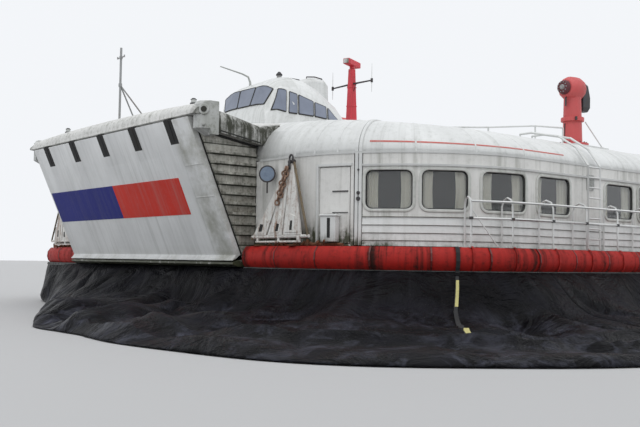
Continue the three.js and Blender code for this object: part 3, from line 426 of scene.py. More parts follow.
# Spread of the foot from the deck edge: [corners passed from the bow, distance], starboard first
SPREAD = [
    [-5, 2.40], [-4, 2.40], [-3, 2.60], [-2.3, 2.20], [-2, 1.20], [-1.5, 0.22], [-1.2, 0.18],
    [-1, 0.36], [-0.5, 1.80], [0, 3.45], [0.5, 5.10], [1, 5.24], [1.2, 5.70], [1.33, 6.20],
    [1.5, 6.35], [1.75, 6.10], [2, 5.50], [2.1, 4.60], [2.25, 3.60], [2.5, 3.00], [3, 2.90], [4, 2.40], [5, 2.40],
]
# Down the cloth: [level, share of the spread where it hangs straight, share where it lies slack]
FALL = [[SKIRT_TOP, 0.0, 0.0], [1.36, 0.10, 0.03], [1.06, 0.34, 0.08], [0.66, 0.64, 0.14],
        [0.40, 0.84, 0.24], [0.26, 0.93, 0.48], [0.15, 0.98, 0.80], [0.06, 1.0, 0.96], [0.02, 1.0, 1.0]]
# Lengths of skirt: [name, first place, last place, steps along]. Places past 5 go on to starboard.
LENGTHS = [
    ["bow", -1.0, 1.0, 300], ["port_bow", 1.0, 2.0, 330], ["port", 2.0, 3.0, 480], ["stern", 3.0, 7.0, 260],
    ["starboard", 7.0, 8.0, 320], ["starboard_bow", 8.0, 9.0, 140],
]
STEPS_DOWN = 84


def between(table, place, column=1):
    """A value between the rows of a table, straight from one row to the next."""
    if place <= table[0][0]:
        return table[0][column]
    for low, high in zip(table, table[1:]):
        if place <= high[0]:
            share = (place - low[0]) / (high[0] - low[0])
            return low[column] + (high[column] - low[column]) * share
    return table[-1][column]


def smooth_spread(place):
    """The spread with the table's corners rounded off."""
    return sum(between(SPREAD, place + step) for step in (-0.06, -0.03, 0, 0.03, 0.06)) / 5


def round_plan(plan, place):
    """A point on a plan's edge and its outward direction. Place counts the corners passed from the
    middle of the bow: corners lie at 1 to 2 and 3 to 4, and 5 is the middle of the stern."""
    side = 1 if place >= 0 else -1
    place = abs(place)
    bow_y = plan["half"] - plan["bow"]
    stern_y = plan["half"] - plan["stern"]
    if place <= 1:
        x, y, turn = plan["front"], bow_y * place, 0.0
    elif place <= 2:
        turn = (place - 1) * math.pi / 2
        x = plan["front"] - plan["bow"] + plan["bow"] * math.cos(turn)
        y = bow_y + plan["bow"] * math.sin(turn)
    elif place <= 3:
        from_x = plan["front"] - plan["bow"]
        to_x = plan["rear"] + plan["stern"]
        x, y, turn = from_x + (to_x - from_x) * (place - 2), plan["half"], math.pi / 2
    elif place <= 4:
        turn = (place - 2) * math.pi / 2
        x = plan["rear"] + plan["stern"] + plan["stern"] * math.cos(turn)
        y = stern_y + plan["stern"] * math.sin(turn)
    else:
        x, y, turn = plan["rear"], stern_y * (5 - place), math.pi
    return Vector((x, side * y, 0)), Vector((math.cos(turn), side * math.sin(turn), 0))


def way_round(plan, place):
    """Distance round a plan's edge from the middle of the bow."""
    bow = plan["half"] - plan["bow"]
    legs = [bow, plan["bow"] * math.pi / 2, plan["front"] - plan["bow"] - plan["rear"] - plan["stern"],
            plan["stern"] * math.pi / 2, plan["half"] - plan["stern"]]
    passed = abs(place)
    total = sum(leg * min(max(passed - i, 0), 1) for i, leg in enumerate(legs))
    return math.copysign(total, place)


def fall_at(spread, down):
    """Distance out and level at a share of the way down the cloth."""
    slack = min(max((spread - 2.0) / 2.0, 0.0), 1.0)
    rows = [(s + (lying - s) * slack, level) for level, s, lying in FALL]
    points = [Vector((share * spread, level, 0)) for share, level in rows]
    lengths = [(b - a).length for a, b in zip(points, points[1:])]
    goal = down * sum(lengths)
    for a, b, length in zip(points, points[1:], lengths):
        if goal <= length or b is points[-1]:
            return a.lerp(b, min(goal / length, 1.0))
        goal -= length
    return points[-1]


def ridge(x, y, seed):
    """Noise with sharp crests, as cloth creases have."""
    return 1.0 - abs(2.0 * noise.noise(Vector((x, y, seed))))


def cloth_point(place, down):
    """A point on the skirt's face, with its folds, in real metres."""
    wrapped = place if place <= 5 else place - 10
    edge, out = round_plan(HULL, wrapped)
    run = way_round(HULL, wrapped)
    spread = smooth_spread(wrapped)
    here = sum((fall_at(spread, down + d) for d in (-0.03, 0.0, 0.03)), Vector()) / 3
    slope = fall_at(spread, min(down + 0.04, 1.0)) - fall_at(spread, max(down - 0.04, 0.0))
    slope.normalize()
    lift = Vector((-slope.y, slope.x))
    slack = min(max((spread - 1.5) / 3.5, 0.0), 1.0)
    held = min(down / 0.22, 1.0) ** 1.5
    lean = run + 2.6 * down * noise.noise(Vector((run * 0.11, 0.0, 7.0)))
    broad = noise.noise(Vector((lean * 0.36, down * 0.5, 3.0)))
    drape = noise.noise(Vector((lean * 1.0 + down * 1.1, down * 0.7, 11.0)))
    crease = ridge(lean * 0.62 - down * 1.1, down * 0.8, 23.0) ** 6
    pleat = noise.noise(Vector((run * 3.1, down * 0.4, 31.0)))
    roll = ridge(run * 0.15, down * spread * 0.62, 41.0) ** 3
    fold = (0.50 * broad + 0.30 * drape) * (0.45 + 0.55 * slack) - 0.10 * crease
    fold += 0.05 * pleat * (1.0 - down) ** 2 + 0.20 * roll * slack * min(down * 1.3, 1.0)
    foot = min(max((down - 0.86) / 0.14, 0.0), 1.0)
    fold *= held * (1.0 - foot) ** 0.7
    wander = 0.25 * foot * noise.noise(Vector((run * 0.55, 0.0, 53.0)))
    distance = max(here.x + lift.x * fold + wander, -0.02)
    level = here.y + abs(lift.y) * fold + 0.05 * foot * (1.0 - foot)
    return edge + out * distance + UP * max(level, 0.014)


rubber, tree, shader = new_material("skirt_rubber", IOR=1.16)
here, _, _, level = located(tree)
dust = noisy(tree, here, 2.2, 7.0, 0.62)
dust_and_sheen = ranged(tree, noisy(tree, here, 3.1, 8.0, 0.7, 0.8), 0.50, 0.68)
low_down = ranged(tree, level, 0.75 * REAL, 0.15 * REAL)
rain = shade(tree, "Group", node_tree=RAIN_RUN).outputs["Down"]
streak = ranged(tree, noisy(tree, rain, 9.0, 5.0), 0.52, 0.72)
colour = mixed(tree, ranged(tree, dust, 0.45, 0.75), (0.0025, 0.0025, 0.0033, 1), (0.010, 0.010, 0.014, 1))
# Low on the cloth a pale blue is mixed in: partly dust, and partly a painted sheen of the sky on the flatter folds.
colour = mixed(tree, times(tree, low_down, dust_and_sheen), colour, (0.046, 0.048, 0.064, 1))
colour = mixed(tree, times(tree, streak, 0.35), colour, (0.020, 0.020, 0.024, 1))
tree.links.new(colour, shader.inputs["Base Color"])
tree.links.new(ranged(tree, dust, 0.35, 0.65, 0.34, 0.55), shader.inputs["Roughness"])
rumple = shade(tree, "Bump", {"Height": noisy(tree, here, 1.5, 5.0, 0.6, 1.3), "Strength": 0.75, "Distance": 0.22})
crinkle = shade(tree, "Bump", {"Height": noisy(tree, here, 34.0, 4.0), "Strength": 0.18, "Distance": 0.01,
                               "Normal": rumple.outputs[0]})
tree.links.new(crinkle.outputs[0], shader.inputs["Normal"])


def thicken(piece, thick, offset=0):
    """Give a piece's surface a thickness in model metres, about its middle if offset is 0."""
    shell = piece.modifiers.new("thickness", "SOLIDIFY")
    shell.thickness = thick
    shell.offset = offset


for name, first, last, steps in LENGTHS:
    bm = bmesh.new()
    bmesh.ops.create_grid(bm, x_segments=steps, y_segments=STEPS_DOWN, size=1.0)
    for vert in bm.verts:
        along = first + (last - first) * (vert.co.x + 1) / 2
        vert.co = cloth_point(along, (1 - vert.co.y) / 2)
    skirt = settle(bm, f"skirt_cloth_{name}", rubber, smooth=True, closed=False)
    ends = [way_round(HULL, place if place <= 5 else place - 10) for place in (first, last)]
    if name == "stern":
        ends = [0, 2 * (way_round(HULL, 5) - ends[0])]
    reach = abs(ends[1] - ends[0]) * REAL
    thicken(skirt, CLOTH_THICK * REAL)
    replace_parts(skirt, f"skirt_{name}")

# Rubbing band
# A bulged red fender of glass fibre round the deck edge, in panels about a metre and a half long,
# with dark joints between them. A strip of bolted alloy along its foot clamps the skirt.
BAND_FACE = [[-0.03, 1.50], [0.05, 1.58], [0.09, 1.72], [0.07, 1.90], [-0.02, 2.02], [-0.06, 2.05]]
STRIP = {"low": 1.40, "top": 1.495, "out": 0.03, "bolt_step": 0.28, "bolt": 0.022}
PANEL_STEP = 1.42
# The band's bolts and joints start at this way round from the middle of the bow, and end at this place
BAND_GAP = 5.25
BAND_LAST = 4.38


def run_place(plan, run):
    """The place round a plan whose way round from the middle of the bow is run."""
    legs = [way_round(plan, i) for i in range(6)]
    goal = abs(run)
    for i in range(5):
        if goal <= legs[i + 1]:
            return math.copysign(i + (goal - legs[i]) / (legs[i + 1] - legs[i]), run)
    return math.copysign(5.0, run)


def wall_frame(plan, place, level, out=0.0):
    """A matrix on a plan's edge: its x runs aft along the port wall, y is up and z points out."""
    edge, outward, across = stand(plan, place)
    turn = Matrix((across, UP, outward)).transposed()
    return Matrix.Translation(edge + outward * out + UP * level) @ turn.to_4x4()


def stand(plan, place):
    """A point on a plan's edge, its outward direction and the level direction across that."""
    edge, outward = round_plan(plan, place)
    return edge, outward, UP.cross(outward)


def spread_round(count):
    """Angles that divide a full turn evenly."""
    return [2 * math.pi * k / count for k in range(count)]


def ring_on(bm, points):
    """A closed loop of edges through points."""
    verts = [bm.verts.new(point) for point in points]
    return verts, [bm.edges.new((a, b)) for a, b in zip(verts, verts[1:] + verts[:1])]


def sweep(bm, sections, ends="capped"):
    """Bridge a run of closed rings of points into one skin. Its ends are capped, open or joined."""
    rings = [ring_on(bm, section) for section in sections]
    if ends == "capped":
        bm.faces.new(rings[0][0])
        bm.faces.new(rings[-1][0])
    for (_, near), (_, far) in zip(rings, rings[1:]):
        bmesh.ops.bridge_loops(bm, edges=near + far)
    if ends == "joined":
        bmesh.ops.bridge_loops(bm, edges=rings[-1][1] + rings[0][1])


def bar_section(middle, half, lift):
    """The four corners of a bar: half to each side of its middle, and lifted on one face."""
    return [middle - half, middle + half, middle + half + lift, middle - half + lift]


def along_plan(bm, plan, places, section):
    """A moulding of [out, level] points that follows a plan's edge through some places."""
    rows = []
    for place in places:
        edge, outward = round_plan(plan, place)
        rows.append([edge + outward * out + UP * level for out, level in section])
    sweep(bm, rows)


def steps_between(plan, first, last, step):
    """Places from first to last, about step apart on the corners and far apart on the straights."""
    places = {first, last} | {corner for corner in (-4, -3, -2, -1, 1, 2, 3, 4) if first < corner < last}
    for low in (-4, -2, 1, 3):
        count = max(int((way_round(plan, low + 1) - way_round(plan, low)) / step), 2)
        places.update(low + i / count for i in range(count) if first < low + i / count < last)
    return sorted(places)


def rod(bm, points, radius, sides=8, loop=False):
    """A round bar through points. Radius may be one value or one for each point."""
    points = [Vector(point) for point in points]
    radii = radius if isinstance(radius, (list, tuple)) else [radius] * len(points)
    rows = []
    facing = None
    for i, point in enumerate(points):
        before = points[i - 1] if loop else points[max(i - 1, 0)]
        after = points[(i + 1) % len(points)] if loop else points[min(i + 1, len(points) - 1)]
        along = (after - before).normalized()
        if facing is None:
            facing = along.orthogonal().normalized()
        facing = (facing - along * facing.dot(along)).normalized()
        other = along.cross(facing)
        rows.append([point + (facing * math.cos(a) + other * math.sin(a)) * radii[i] for a in spread_round(sides)])
    sweep(bm, rows, "joined" if loop else "capped")


def block(bm, low, high, matrix=None):
    """A box between two corners, set by a matrix."""
    size = [b - a for a, b in zip(low, high)]
    middle = [(a + b) / 2 for a, b in zip(low, high)]
    place = Matrix.Translation(middle) @ Matrix.Diagonal((*size, 1.0))
    bmesh.ops.create_cube(bm, size=1.0, matrix=(matrix or Matrix()) @ place)


def plug(bm, at, along, radius, deep, sides=10, tip=None):
    """A short cylinder or cone from a point along a direction."""
    along = Vector(along).normalized()
    turn = along.to_track_quat("Z", "Y").to_matrix().to_4x4()
    middle = Matrix.Translation(Vector(at) + along * deep / 2) @ turn
    bmesh.ops.create_cone(bm, cap_ends=True, segments=sides, radius1=radius,
                          radius2=radius if tip is None else tip, depth=deep, matrix=middle)


def moulding(bm, plan, first, last, step, section):
    """A moulding of [out, level] points along a plan's edge, on both sides of the craft."""
    for side in (1, -1):
        along_plan(bm, plan, [side * place for place in steps_between(plan, first, last, step)], section)


strip_grey = painted("clamp_strip", (0.075, 0.078, 0.078), (0.03, 0.035, 0.02), 0.9, 0.7, dull=0.6)
bm = bmesh.new()
band_end = run_place(HULL, BAND_GAP)
moulding(bm, HULL, band_end, 4.6, 0.5, [(-0.04, STRIP["low"]), (STRIP["out"], STRIP["low"]),
                                       (STRIP["out"], STRIP["top"]), (-0.04, STRIP["top"])])
band_long = way_round(HULL, BAND_LAST) - BAND_GAP
for side in (1, -1):
    for i in range(int(band_long / STRIP["bolt_step"])):
        place = run_place(HULL, side * (BAND_GAP + (i + 0.5) * STRIP["bolt_step"]))
        edge, outward = round_plan(HULL, place)
        at = edge + outward * STRIP["out"] + Vector((0, 0, (STRIP["low"] + STRIP["top"]) / 2))
        plug(bm, at, outward, STRIP["bolt"], 0.015, sides=6)
settle(bm, "skirt_clamp_strip", strip_grey)

joint_dark = painted("band_joint", (0.10, 0.012, 0.010), (0.02, 0.02, 0.015), 0.6)
bm = bmesh.new()
for side in (1, -1):
    for i in range(1, int(band_long / PANEL_STEP) + 1):
        edge, outward, across = stand(HULL, run_place(HULL, side * (BAND_GAP + i * PANEL_STEP)))
        outer = [edge + outward * (out + 0.010) + UP * level for out, level in BAND_FACE]
        sweep(bm, [bar_section(point, across * 0.018, outward * -0.03) for point in outer])
settle(bm, "band_joints", joint_dark)

# Bow door
# One ribless outer skin over a braced frame, hinged along its top edge by five arms that sink into
# slots. Its lower lip is curled, and it carries a plain navy bar and a plain red bar.
DOOR = {"hinge": (24.70, 5.35), "foot": (23.10, 1.72)}
DOOR_RUN = [near - far for near, far in zip(DOOR["hinge"], DOOR["foot"])]
DOOR_LEAN, DOOR_LONG = math.atan2(*DOOR_RUN), math.hypot(*DOOR_RUN)
SLOT = {"across": [-4.06, -2.03, 0.0, 2.03, 4.06], "half": 0.21, "plate": 0.68, "tall": 0.98}


def on_door(y, down, out=0.0):
    """A point on the bow door's face: y across, down the slope from the hinge, out from the face."""
    x = DOOR["hinge"][0] - down * math.sin(DOOR_LEAN) + out * math.cos(DOOR_LEAN)
    z = DOOR["hinge"][1] - down * math.cos(DOOR_LEAN) - out * math.sin(DOOR_LEAN)
    return Vector((x, y, z))


def on_door_plate(bm, near, far, top, low, outs):
    """A plate on the bow door between two distances across it and two down it."""
    corners = [(near, top), (far, top), (far, low), (near, low)]
    sweep(bm, [[on_door(y, down, out) for y, down in corners] for out in outs])


door_white = painted("door_white", (0.70, 0.71, 0.71), streaks=0.22, speckle=0.05, fine=1.6)
tree, colour, base = base_colour(door_white)
here, _, y, z = located(tree)
# The door's port strip is darkened with a green tone: partly dirt, and partly painted shade for the door's side
# return, which is turned away from the light. The face also darkens towards its lower edge.
mottle = ranged(tree, noisy(tree, here, 2.4, 8.0, 0.7), 0.36, 0.66)
port_strip = ranged(tree, y, 3.95 * REAL, 4.35 * REAL)
low_edge = ranged(tree, z, 2.1 * REAL, 1.75 * REAL, 0.0, 0.5)
stain_and_shade = times(tree, figure(tree, "MAXIMUM", times(tree, port_strip, mottle), times(tree, low_edge, mottle)), 0.72)
tree.links.new(mixed(tree, stain_and_shade, colour, (0.20, 0.20, 0.145, 1)), base)
soften(door_white, "bow_door")

BAR = {"top": 1.60, "low": 2.66, "first": -5.00, "meet": -0.35, "last": 3.62, "proud": 0.011}
navy = painted("navy_bar", (0.008, 0.014, 0.19), (0.16, 0.17, 0.20), 0.35, 0.15, gloss=0.12)
bar_red = painted("red_bar", (0.62, 0.030, 0.016), (0.40, 0.26, 0.24), 0.35, 0.15, gloss=0.12)
for name, finish, slot, near, far in (("door_navy_bar", navy, "dark_metal", BAR["first"], BAR["meet"]),
                                      ("door_red_bar", bar_red, "band_red", BAR["meet"], BAR["last"])):
    bm = bmesh.new()
    on_door_plate(bm, near, far, BAR["low"], BAR["top"], (0.0, BAR["proud"]))
    settle(bm, name, finish, "bow_door")

# Near-black: the plates that fill the hinge slots are painted shade, and the hinge arms and pins are near-black as
# well.
slot_shade_and_dark_arms = painted("slot_shade_and_dark_arms", (0.010, 0.010, 0.011), (0.05, 0.045, 0.035), 0.5, 0.3, dull=0.7)
bm, covers = bmesh.new(), bmesh.new()
for y in SLOT["across"]:
    near, far = y - SLOT["half"], y + SLOT["half"]
    on_door_plate(bm, near, far, 0.0, SLOT["plate"], (-0.060, 0.003))
    on_door_plate(covers, near, far, SLOT["plate"], SLOT["tall"], (-0.060, 0.003))
    sweep(bm, [[on_door(y + a * share, down, out) for a, out in
                ((-0.05, 0.012), (0.05, 0.012), (0.05, 0), (-0.05, 0))]
               for down, share in ((0.04, 1.0), (0.34, 1.0), (0.60, 0.6))])
    plug(bm, on_door(near + 0.005, 0.10, -0.04), (0, 1, 0), 0.032, 0.39, sides=12)
settle(bm, "door_hinge_arms", slot_shade_and_dark_arms, "bow_door")
for y in (-3.0, -1.0, 1.0, 3.0, 4.15):
    sweep(covers, [[on_door(y + a, down, out) for a, out in ((-0.02, 0), (0.02, 0), (0.012, 0.006), (-0.012, 0.006))]
                   for down in (0.74, DOOR_LONG - 0.12)])
for down in (1.30, 2.20):
    sweep(covers, [[on_door(y, down + a, out) for a, out in ((-0.02, 0), (0.02, 0), (0.012, 0.008), (-0.012, 0.008))]
                   for y in (4.17, 5.08)])
settle(covers, "door_seams", door_white, "bow_door")

# Near-black, for rubber seals and for painted shade in gaps, slots and holes. The strips down the bow door's sides
# fill the gap round it and are painted shade.
seal_and_gap_shade = painted("door_seal_and_gap_shade", (0.012, 0.012, 0.012), (0.06, 0.06, 0.04), 0.5, 0.4, dull=0.7)
bm = bmesh.new()
for side in (1, -1):
    sweep(bm, [[on_door(side * y, down, out) for y, out in ((5.06, -0.185), (5.125, -0.185), (5.125, -0.165),
                                                            (5.06, -0.165))] for down in (0.06, DOOR_LONG - 0.06)])
settle(bm, "door_seal_and_gap_shade", seal_and_gap_shade)

# Roof
# A crowned alloy shell in panels as long as the step between windows, rolled down over the shoulder
# to the walls. Flat strips cover its joints, and a gutter runs along the wall under its eaves.
ROOF = {"shoulder": 1.35, "eaves": 4.34, "crest": 5.70, "drop": 0.75, "thick": 0.12}
APERTURE = {"half": 4.76, "top": 5.18}
# Length of a panel, and where the wall's mouldings start and end round the plan
PANEL = 1.62
WALL_TURN = 31.0
WALL_LAST = 4.42


def crown(y):
    """Level of the roof's top across the craft."""
    return ROOF["crest"] - ROOF["drop"] * (y / CABIN["half"]) ** 2


def roof_point(place, turn, out=0.0):
    """A point on the roof's shoulder. Turn is 0 at the eaves and 90 degrees where the top begins."""
    edge, outward = round_plan(CABIN, place)
    a = math.radians(turn)
    point = edge - outward * ROOF["shoulder"] * (1 - math.cos(a))
    level = ROOF["eaves"] + (crown(point.y) - ROOF["eaves"]) * math.sin(a)
    return Vector((point.x, point.y, level)) + (outward * math.cos(a) + UP * math.sin(a)) * out


def on_roof(x, y, out=0.0):
    """A point on the flat of the roof."""
    return Vector((x, y, crown(y) + out))


bow_place = APERTURE["half"] / (CABIN["half"] - CABIN["bow"])
stern_place = 5 - APERTURE["half"] / (CABIN["half"] - CABIN["stern"])
places = set(steps_between(CABIN, -5, 5, 0.30)) | {bow_place, -bow_place, stern_place, -stern_place}
places |= {2 + i / 18 for i in range(18)} | {-2 - i / 18 for i in range(18)}
rows = [[roof_point(place, turn) for place in sorted(places - {5})] for turn in range(0, 91, 6)]
for share in (0.12, 0.28, 0.46, 0.64, 0.82, 0.93, 0.999):
    ring = []
    for point in rows[15]:
        spine = min(max(point.x, CABIN["rear"] + CABIN["stern"]), CABIN["front"] - CABIN["bow"])
        ring.append(on_roof(point.x + (spine - point.x) * share, point.y * (1 - share)))
    rows.append(ring)
bm = bmesh.new()
sweep(bm, rows, "open")
bmesh.ops.remove_doubles(bm, verts=bm.verts, dist=0.012)
bmesh.ops.recalc_face_normals(bm, faces=bm.faces)


def end_faces():
    """The faces of the roof's shell over its openings at the bow and the stern, and their centres."""
    centres = [(face, face.calc_center_median()) for face in bm.faces]
    return [(face, at) for face, at in centres if abs(at.y) < APERTURE["half"] and not -23.5 < at.x < 20.9]


ends = [face for face, _ in end_faces()]
around = list({item for face in ends for item in (*face.verts, *face.edges)})
bmesh.ops.bisect_plane(bm, geom=ends + around, plane_co=(0, 0, APERTURE["top"]), plane_no=(0, 0, 1))
bmesh.ops.delete(bm, geom=[face for face, at in end_faces() if at.z < APERTURE["top"]], context="FACES")
roof = settle(bm, "roof_shell", roof_white, sharp=40, closed=False)
thicken(roof, ROOF["thick"] * REAL, offset=-1)
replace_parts(roof, "main_roof")


def over_shoulder(bm, place, half, proud, inboard=0.0):
    """A flat strip up over the roof's shoulder at one place round it, and on towards the middle."""
    _, outward, across = stand(CABIN, place)
    points = [(roof_point(place, 7.5 * i), roof_point(place, 7.5 * i, proud)) for i in range(13)]
    if inboard:
        top = points[-1][0]
        for share in (0.33, 0.66, 1.0):
            here = on_roof(top.x - outward.x * inboard * share, top.y - outward.y * inboard * share)
            points.append((here, here + UP * proud))
    sweep(bm, [[low - across * half, high - across * (half - 0.008), high + across * (half - 0.008),
                low + across * half] for low, high in points])


def corner_place(turn):
    """The place round the cabin at a turn in degrees from straight ahead."""
    return 1 + turn / 90


def side_place(x):
    """The place round the cabin at a distance along its side."""
    front = CABIN["front"] - CABIN["bow"]
    return 2 + (front - x) / (front - CABIN["rear"] - CABIN["stern"])


bm = bmesh.new()
for side in (1, -1):
    for turn in (4, 13, 22, 48, 68, 88):
        over_shoulder(bm, side * corner_place(turn), 0.025, 0.008)
    for i in range(22):
        over_shoulder(bm, side * side_place(16.3 - PANEL * i), 0.025, 0.008, inboard=3.2 if i % 2 else 0.0)
    for y in (3.4, 7.2):
        sweep(bm, [[on_roof(x, side * y + across, out) for across, out in
                    ((-0.03, 0), (-0.02, 0.010), (0.02, 0.010), (0.03, 0))] for x in (-23.0, -10.0, 5.0, 14.0, 19.5)])
for x in [11.5 - 3.9 * i for i in range(9)]:
    sweep(bm, [[on_roof(x + along, y, out) for along, out in ((-0.03, 0), (-0.02, 0.009), (0.02, 0.009), (0.03, 0))]
               for y in (-9.4, -7.0, -4.5, -2.0, 0.0, 2.0, 4.5, 7.0, 9.4)])
settle(bm, "roof_joint_strips", roof_white)

bm = bmesh.new()
moulding(bm, CABIN, corner_place(WALL_TURN), 4.35, 0.3, [(-0.01, 3.985), (0.045, 3.985), (0.055, 4.035),
                                                         (0.045, 4.04), (0.035, 4.005), (-0.01, 4.02)])
moulding(bm, CABIN, 0.82, WALL_LAST, 0.3, [(-0.01, 4.295), (0.020, 4.300), (0.026, 4.345), (-0.01, 4.352)])
settle(bm, "gutters", trim_white)

stripe_red = painted("stripe_red", (0.50, 0.10, 0.08), (0.50, 0.45, 0.43), 0.6, 0.3, dull=0.5)
bm = bmesh.new()
for side in (1, -1):
    sweep(bm, [[roof_point(side * place, turn, out) for turn, out in ((16, -0.004), (16, 0.004), (19, 0.004),
                                                                     (19, -0.004))]
               for place in steps_between(CABIN, corner_place(33.0), side_place(16.8), 0.3)])
settle(bm, "cabin_pinstripe", stripe_red)

# Roof furniture
# A raised hatch stands on each side behind the control cabin, with small hatches and mushroom vents
# further aft. The engines breathe in through four louvred intakes at the stern.
bm = bmesh.new()
for side in (1, -1):
    block(bm, (14.55, side * 5.46 - 0.45, 5.30), (15.80, side * 5.46 + 0.45, 5.88))
    for x in (18.25, 18.60):
        block(bm, (x - 0.09, side * 5.05 - 0.06, 5.35), (x + 0.09, side * 5.05 + 0.06, crown(5.05) + 0.13))
    for x in (3.4, -1.6, -6.8, -12.4):
        block(bm, (x - 0.35, side * 5.4 - 0.35, 5.30), (x + 0.35, side * 5.4 + 0.35, 5.66))
        plug(bm, on_roof(x + 1.6, side * 8.2, -0.05), UP, 0.16, 0.26, sides=16)
        plug(bm, on_roof(x + 1.6, side * 8.2, 0.19), UP, 0.24, 0.07, sides=16, tip=0.16)
hatches = settle(bm, "roof_hatches", roof_white)
ease(hatches, 0.03, segments=3)
intake = painted("intake_louvre", (0.05, 0.052, 0.055), (0.10, 0.09, 0.07), 0.8, 0.6, dull=0.6)
bm = bmesh.new()
for y in (3.2, 1.3, -3.2, -1.3):
    for i in range(9):
        block(bm, (-0.11, -0.75, -0.012), (0.11, 0.75, 0.012),
              Matrix.Translation((-19.6 + 0.30 * i, y, crown(y) + 0.10)) @ Matrix.Rotation(math.radians(-35), 4, "Y"))
    low, top = crown(y) - 0.10, crown(y) + 0.22
    for edge_y in (y - 0.80, y + 0.80):
        block(bm, (-19.9, edge_y - 0.03, low), (-16.9, edge_y + 0.03, top))
    for edge_x in (-19.9, -16.9):
        block(bm, (edge_x - 0.03, y - 0.83, low), (edge_x + 0.03, y + 0.83, top))
settle(bm, "engine_intakes", intake)

# Roof of the bow box
# It carries a navigation lamp near each front corner and, at its port end, the housing of the
# door's jack, with a round hole in its side. A lipped joint runs across it.
lamp_glass = mottled("lamp_glass", (0.35, 0.36, 0.34), (0.62, 0.64, 0.62), 30.0, haze=(0.10, 0.30))
bodies, lenses = bmesh.new(), bmesh.new()
for y, top in ((-3.55, 5.74), (4.50, 5.68)):
    for mesh, rise, radius, deep, tip in ((bodies, -0.06, 0.075, 0.16, None), (bodies, 0.09, 0.10, 0.04, None),
                                          (bodies, 0.22, 0.09, 0.04, 0.04), (lenses, 0.125, 0.075, 0.10, None)):
        plug(mesh, (24.15, y, top + rise), UP, radius, deep, sides=14, tip=tip)
settle(bodies, "bow_lamp_bodies", dark_iron)
settle(lenses, "bow_lamp_glasses", lamp_glass)

housing_grey = painted("housing_grey", (0.52, 0.53, 0.52), streaks=0.9, speckle=0.5, dull=0.6)
HOUSING = [(24.05, 5.21), (24.05, 5.60), (24.30, 5.60), (24.58, 5.40), (24.58, 5.21)]
bm, hole_shades = bmesh.new(), bmesh.new()
for side in (1, -1):
    sweep(bm, [[Vector((min(x, front), side * y, z)) for x, y in HOUSING]
               for z, front in ((4.86, 24.25), (5.02, 24.58), (5.62, 24.58), (5.72, 24.50))])
    slant = Vector((0.20, side * 0.28, 0)).normalized()
    hole = Vector((24.44, side * 5.49, 5.49))
    plug(bm, hole, slant, 0.15, 0.045, sides=24, tip=0.13)
    plug(bm, hole - UP * 0.38, slant, 0.05, 0.09, sides=14, tip=0.035)
    for x, z in ((24.11, 4.95), (24.11, 5.64), (24.27, 5.64), (24.27, 4.95), (24.11, 5.30)):
        plug(bm, (x, side * 5.595, z), (0, side, 0), 0.020, 0.015, sides=6)
    # A near-black disc set a little way into each hole is painted shade.
    plug(hole_shades, hole + slant * 0.04, slant, 0.075, 0.012, sides=24)
ease(settle(bm, "jack_housings", housing_grey), 0.012)
settle(hole_shades, "jack_hole_shades", seal_and_gap_shade)

# Rows of the roof's section: [x, underside, top at the sides, top in the middle]
BOX_TOP = [[21.60, 5.20, 5.46, 5.74], [22.61, 4.75, 5.30, 5.76], [23.30, 4.86, 5.46, 5.78],
           [24.10, 4.99, 5.62, 5.80], [24.36, 5.04, 5.68, 5.80], [24.50, 5.365, 5.67, 5.77],
           [24.60, 5.37, 5.62, 5.71], [24.67, 5.375, 5.53, 5.61], [24.70, 5.385, 5.46, 5.51]]
BOX_HALF = 5.45


def on_box_top(x, y, out=0.0):
    """A level on the roof of the bow box."""
    side, middle = between(BOX_TOP, x, 2), between(BOX_TOP, x, 3)
    share = min(abs(y) / 5.20, 1.0)
    return middle + (side - middle) * share ** 2.2 + out


bow_roof_white = painted("bow_roof_white", (0.55, 0.55, 0.53), streaks=0.9, speckle=0.75, dull=0.6)
box_roof = painted("box_roof", (0.64, 0.64, 0.62), streaks=0.35, speckle=0.7, fine=1.2, dull=0.6)
tree = box_roof.node_tree
_, _, y, z = located(tree)
flank = ranged(tree, figure(tree, "ABSOLUTE", y), 5.20 * REAL, 5.40 * REAL)
under = ranged(tree, z, 5.85 * REAL, 5.45 * REAL)
layered(box_roof, BOX_DIRT_AND_RIB_SHADOWS, Amount=times(tree, flank, under, 1.25))

bm = bmesh.new()
rows = []
for x, low, side, middle in BOX_TOP:
    top = [Vector((x, y, on_box_top(x, y))) for y in [-5.20 + 10.40 * i / 20 for i in range(21)]]
    starboard = [Vector((x, -BOX_HALF, low)), Vector((x, -BOX_HALF, side - (side - low) * 0.35)),
                 Vector((x, -BOX_HALF + 0.06, side - 0.07))]
    rows.append(starboard + top + [Vector((at.x, -at.y, at.z)) for at in reversed(starboard)])
sweep(bm, rows)
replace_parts(settle(bm, "bow_box_roof", box_roof, sharp=50), "bow_roof")

bm = bmesh.new()
across = [-5.15, -4.55, -3.0, -1.5, 0.0, 1.5, 3.0, 4.55, 5.15]
for x, half, proud in ((23.55, 0.03, 0.016), (24.28, 0.02, 0.012)):
    sweep(bm, [[Vector((x + step, y, on_box_top(x + step, y, lift)))
                for step, lift in ((-half, -0.01), (-half, proud), (half, proud), (half, -0.01))] for y in across])
for y in (-3.4, -1.1, 1.1, 3.4):
    sweep(bm, [[Vector((x, y + step, on_box_top(x, y, lift)))
                for step, lift in ((-0.02, -0.01), (-0.02, 0.01), (0.02, 0.01), (0.02, -0.01))]
               for x in (22.7, 23.3, 24.1)])
settle(bm, "bow_box_joints", bow_roof_white)

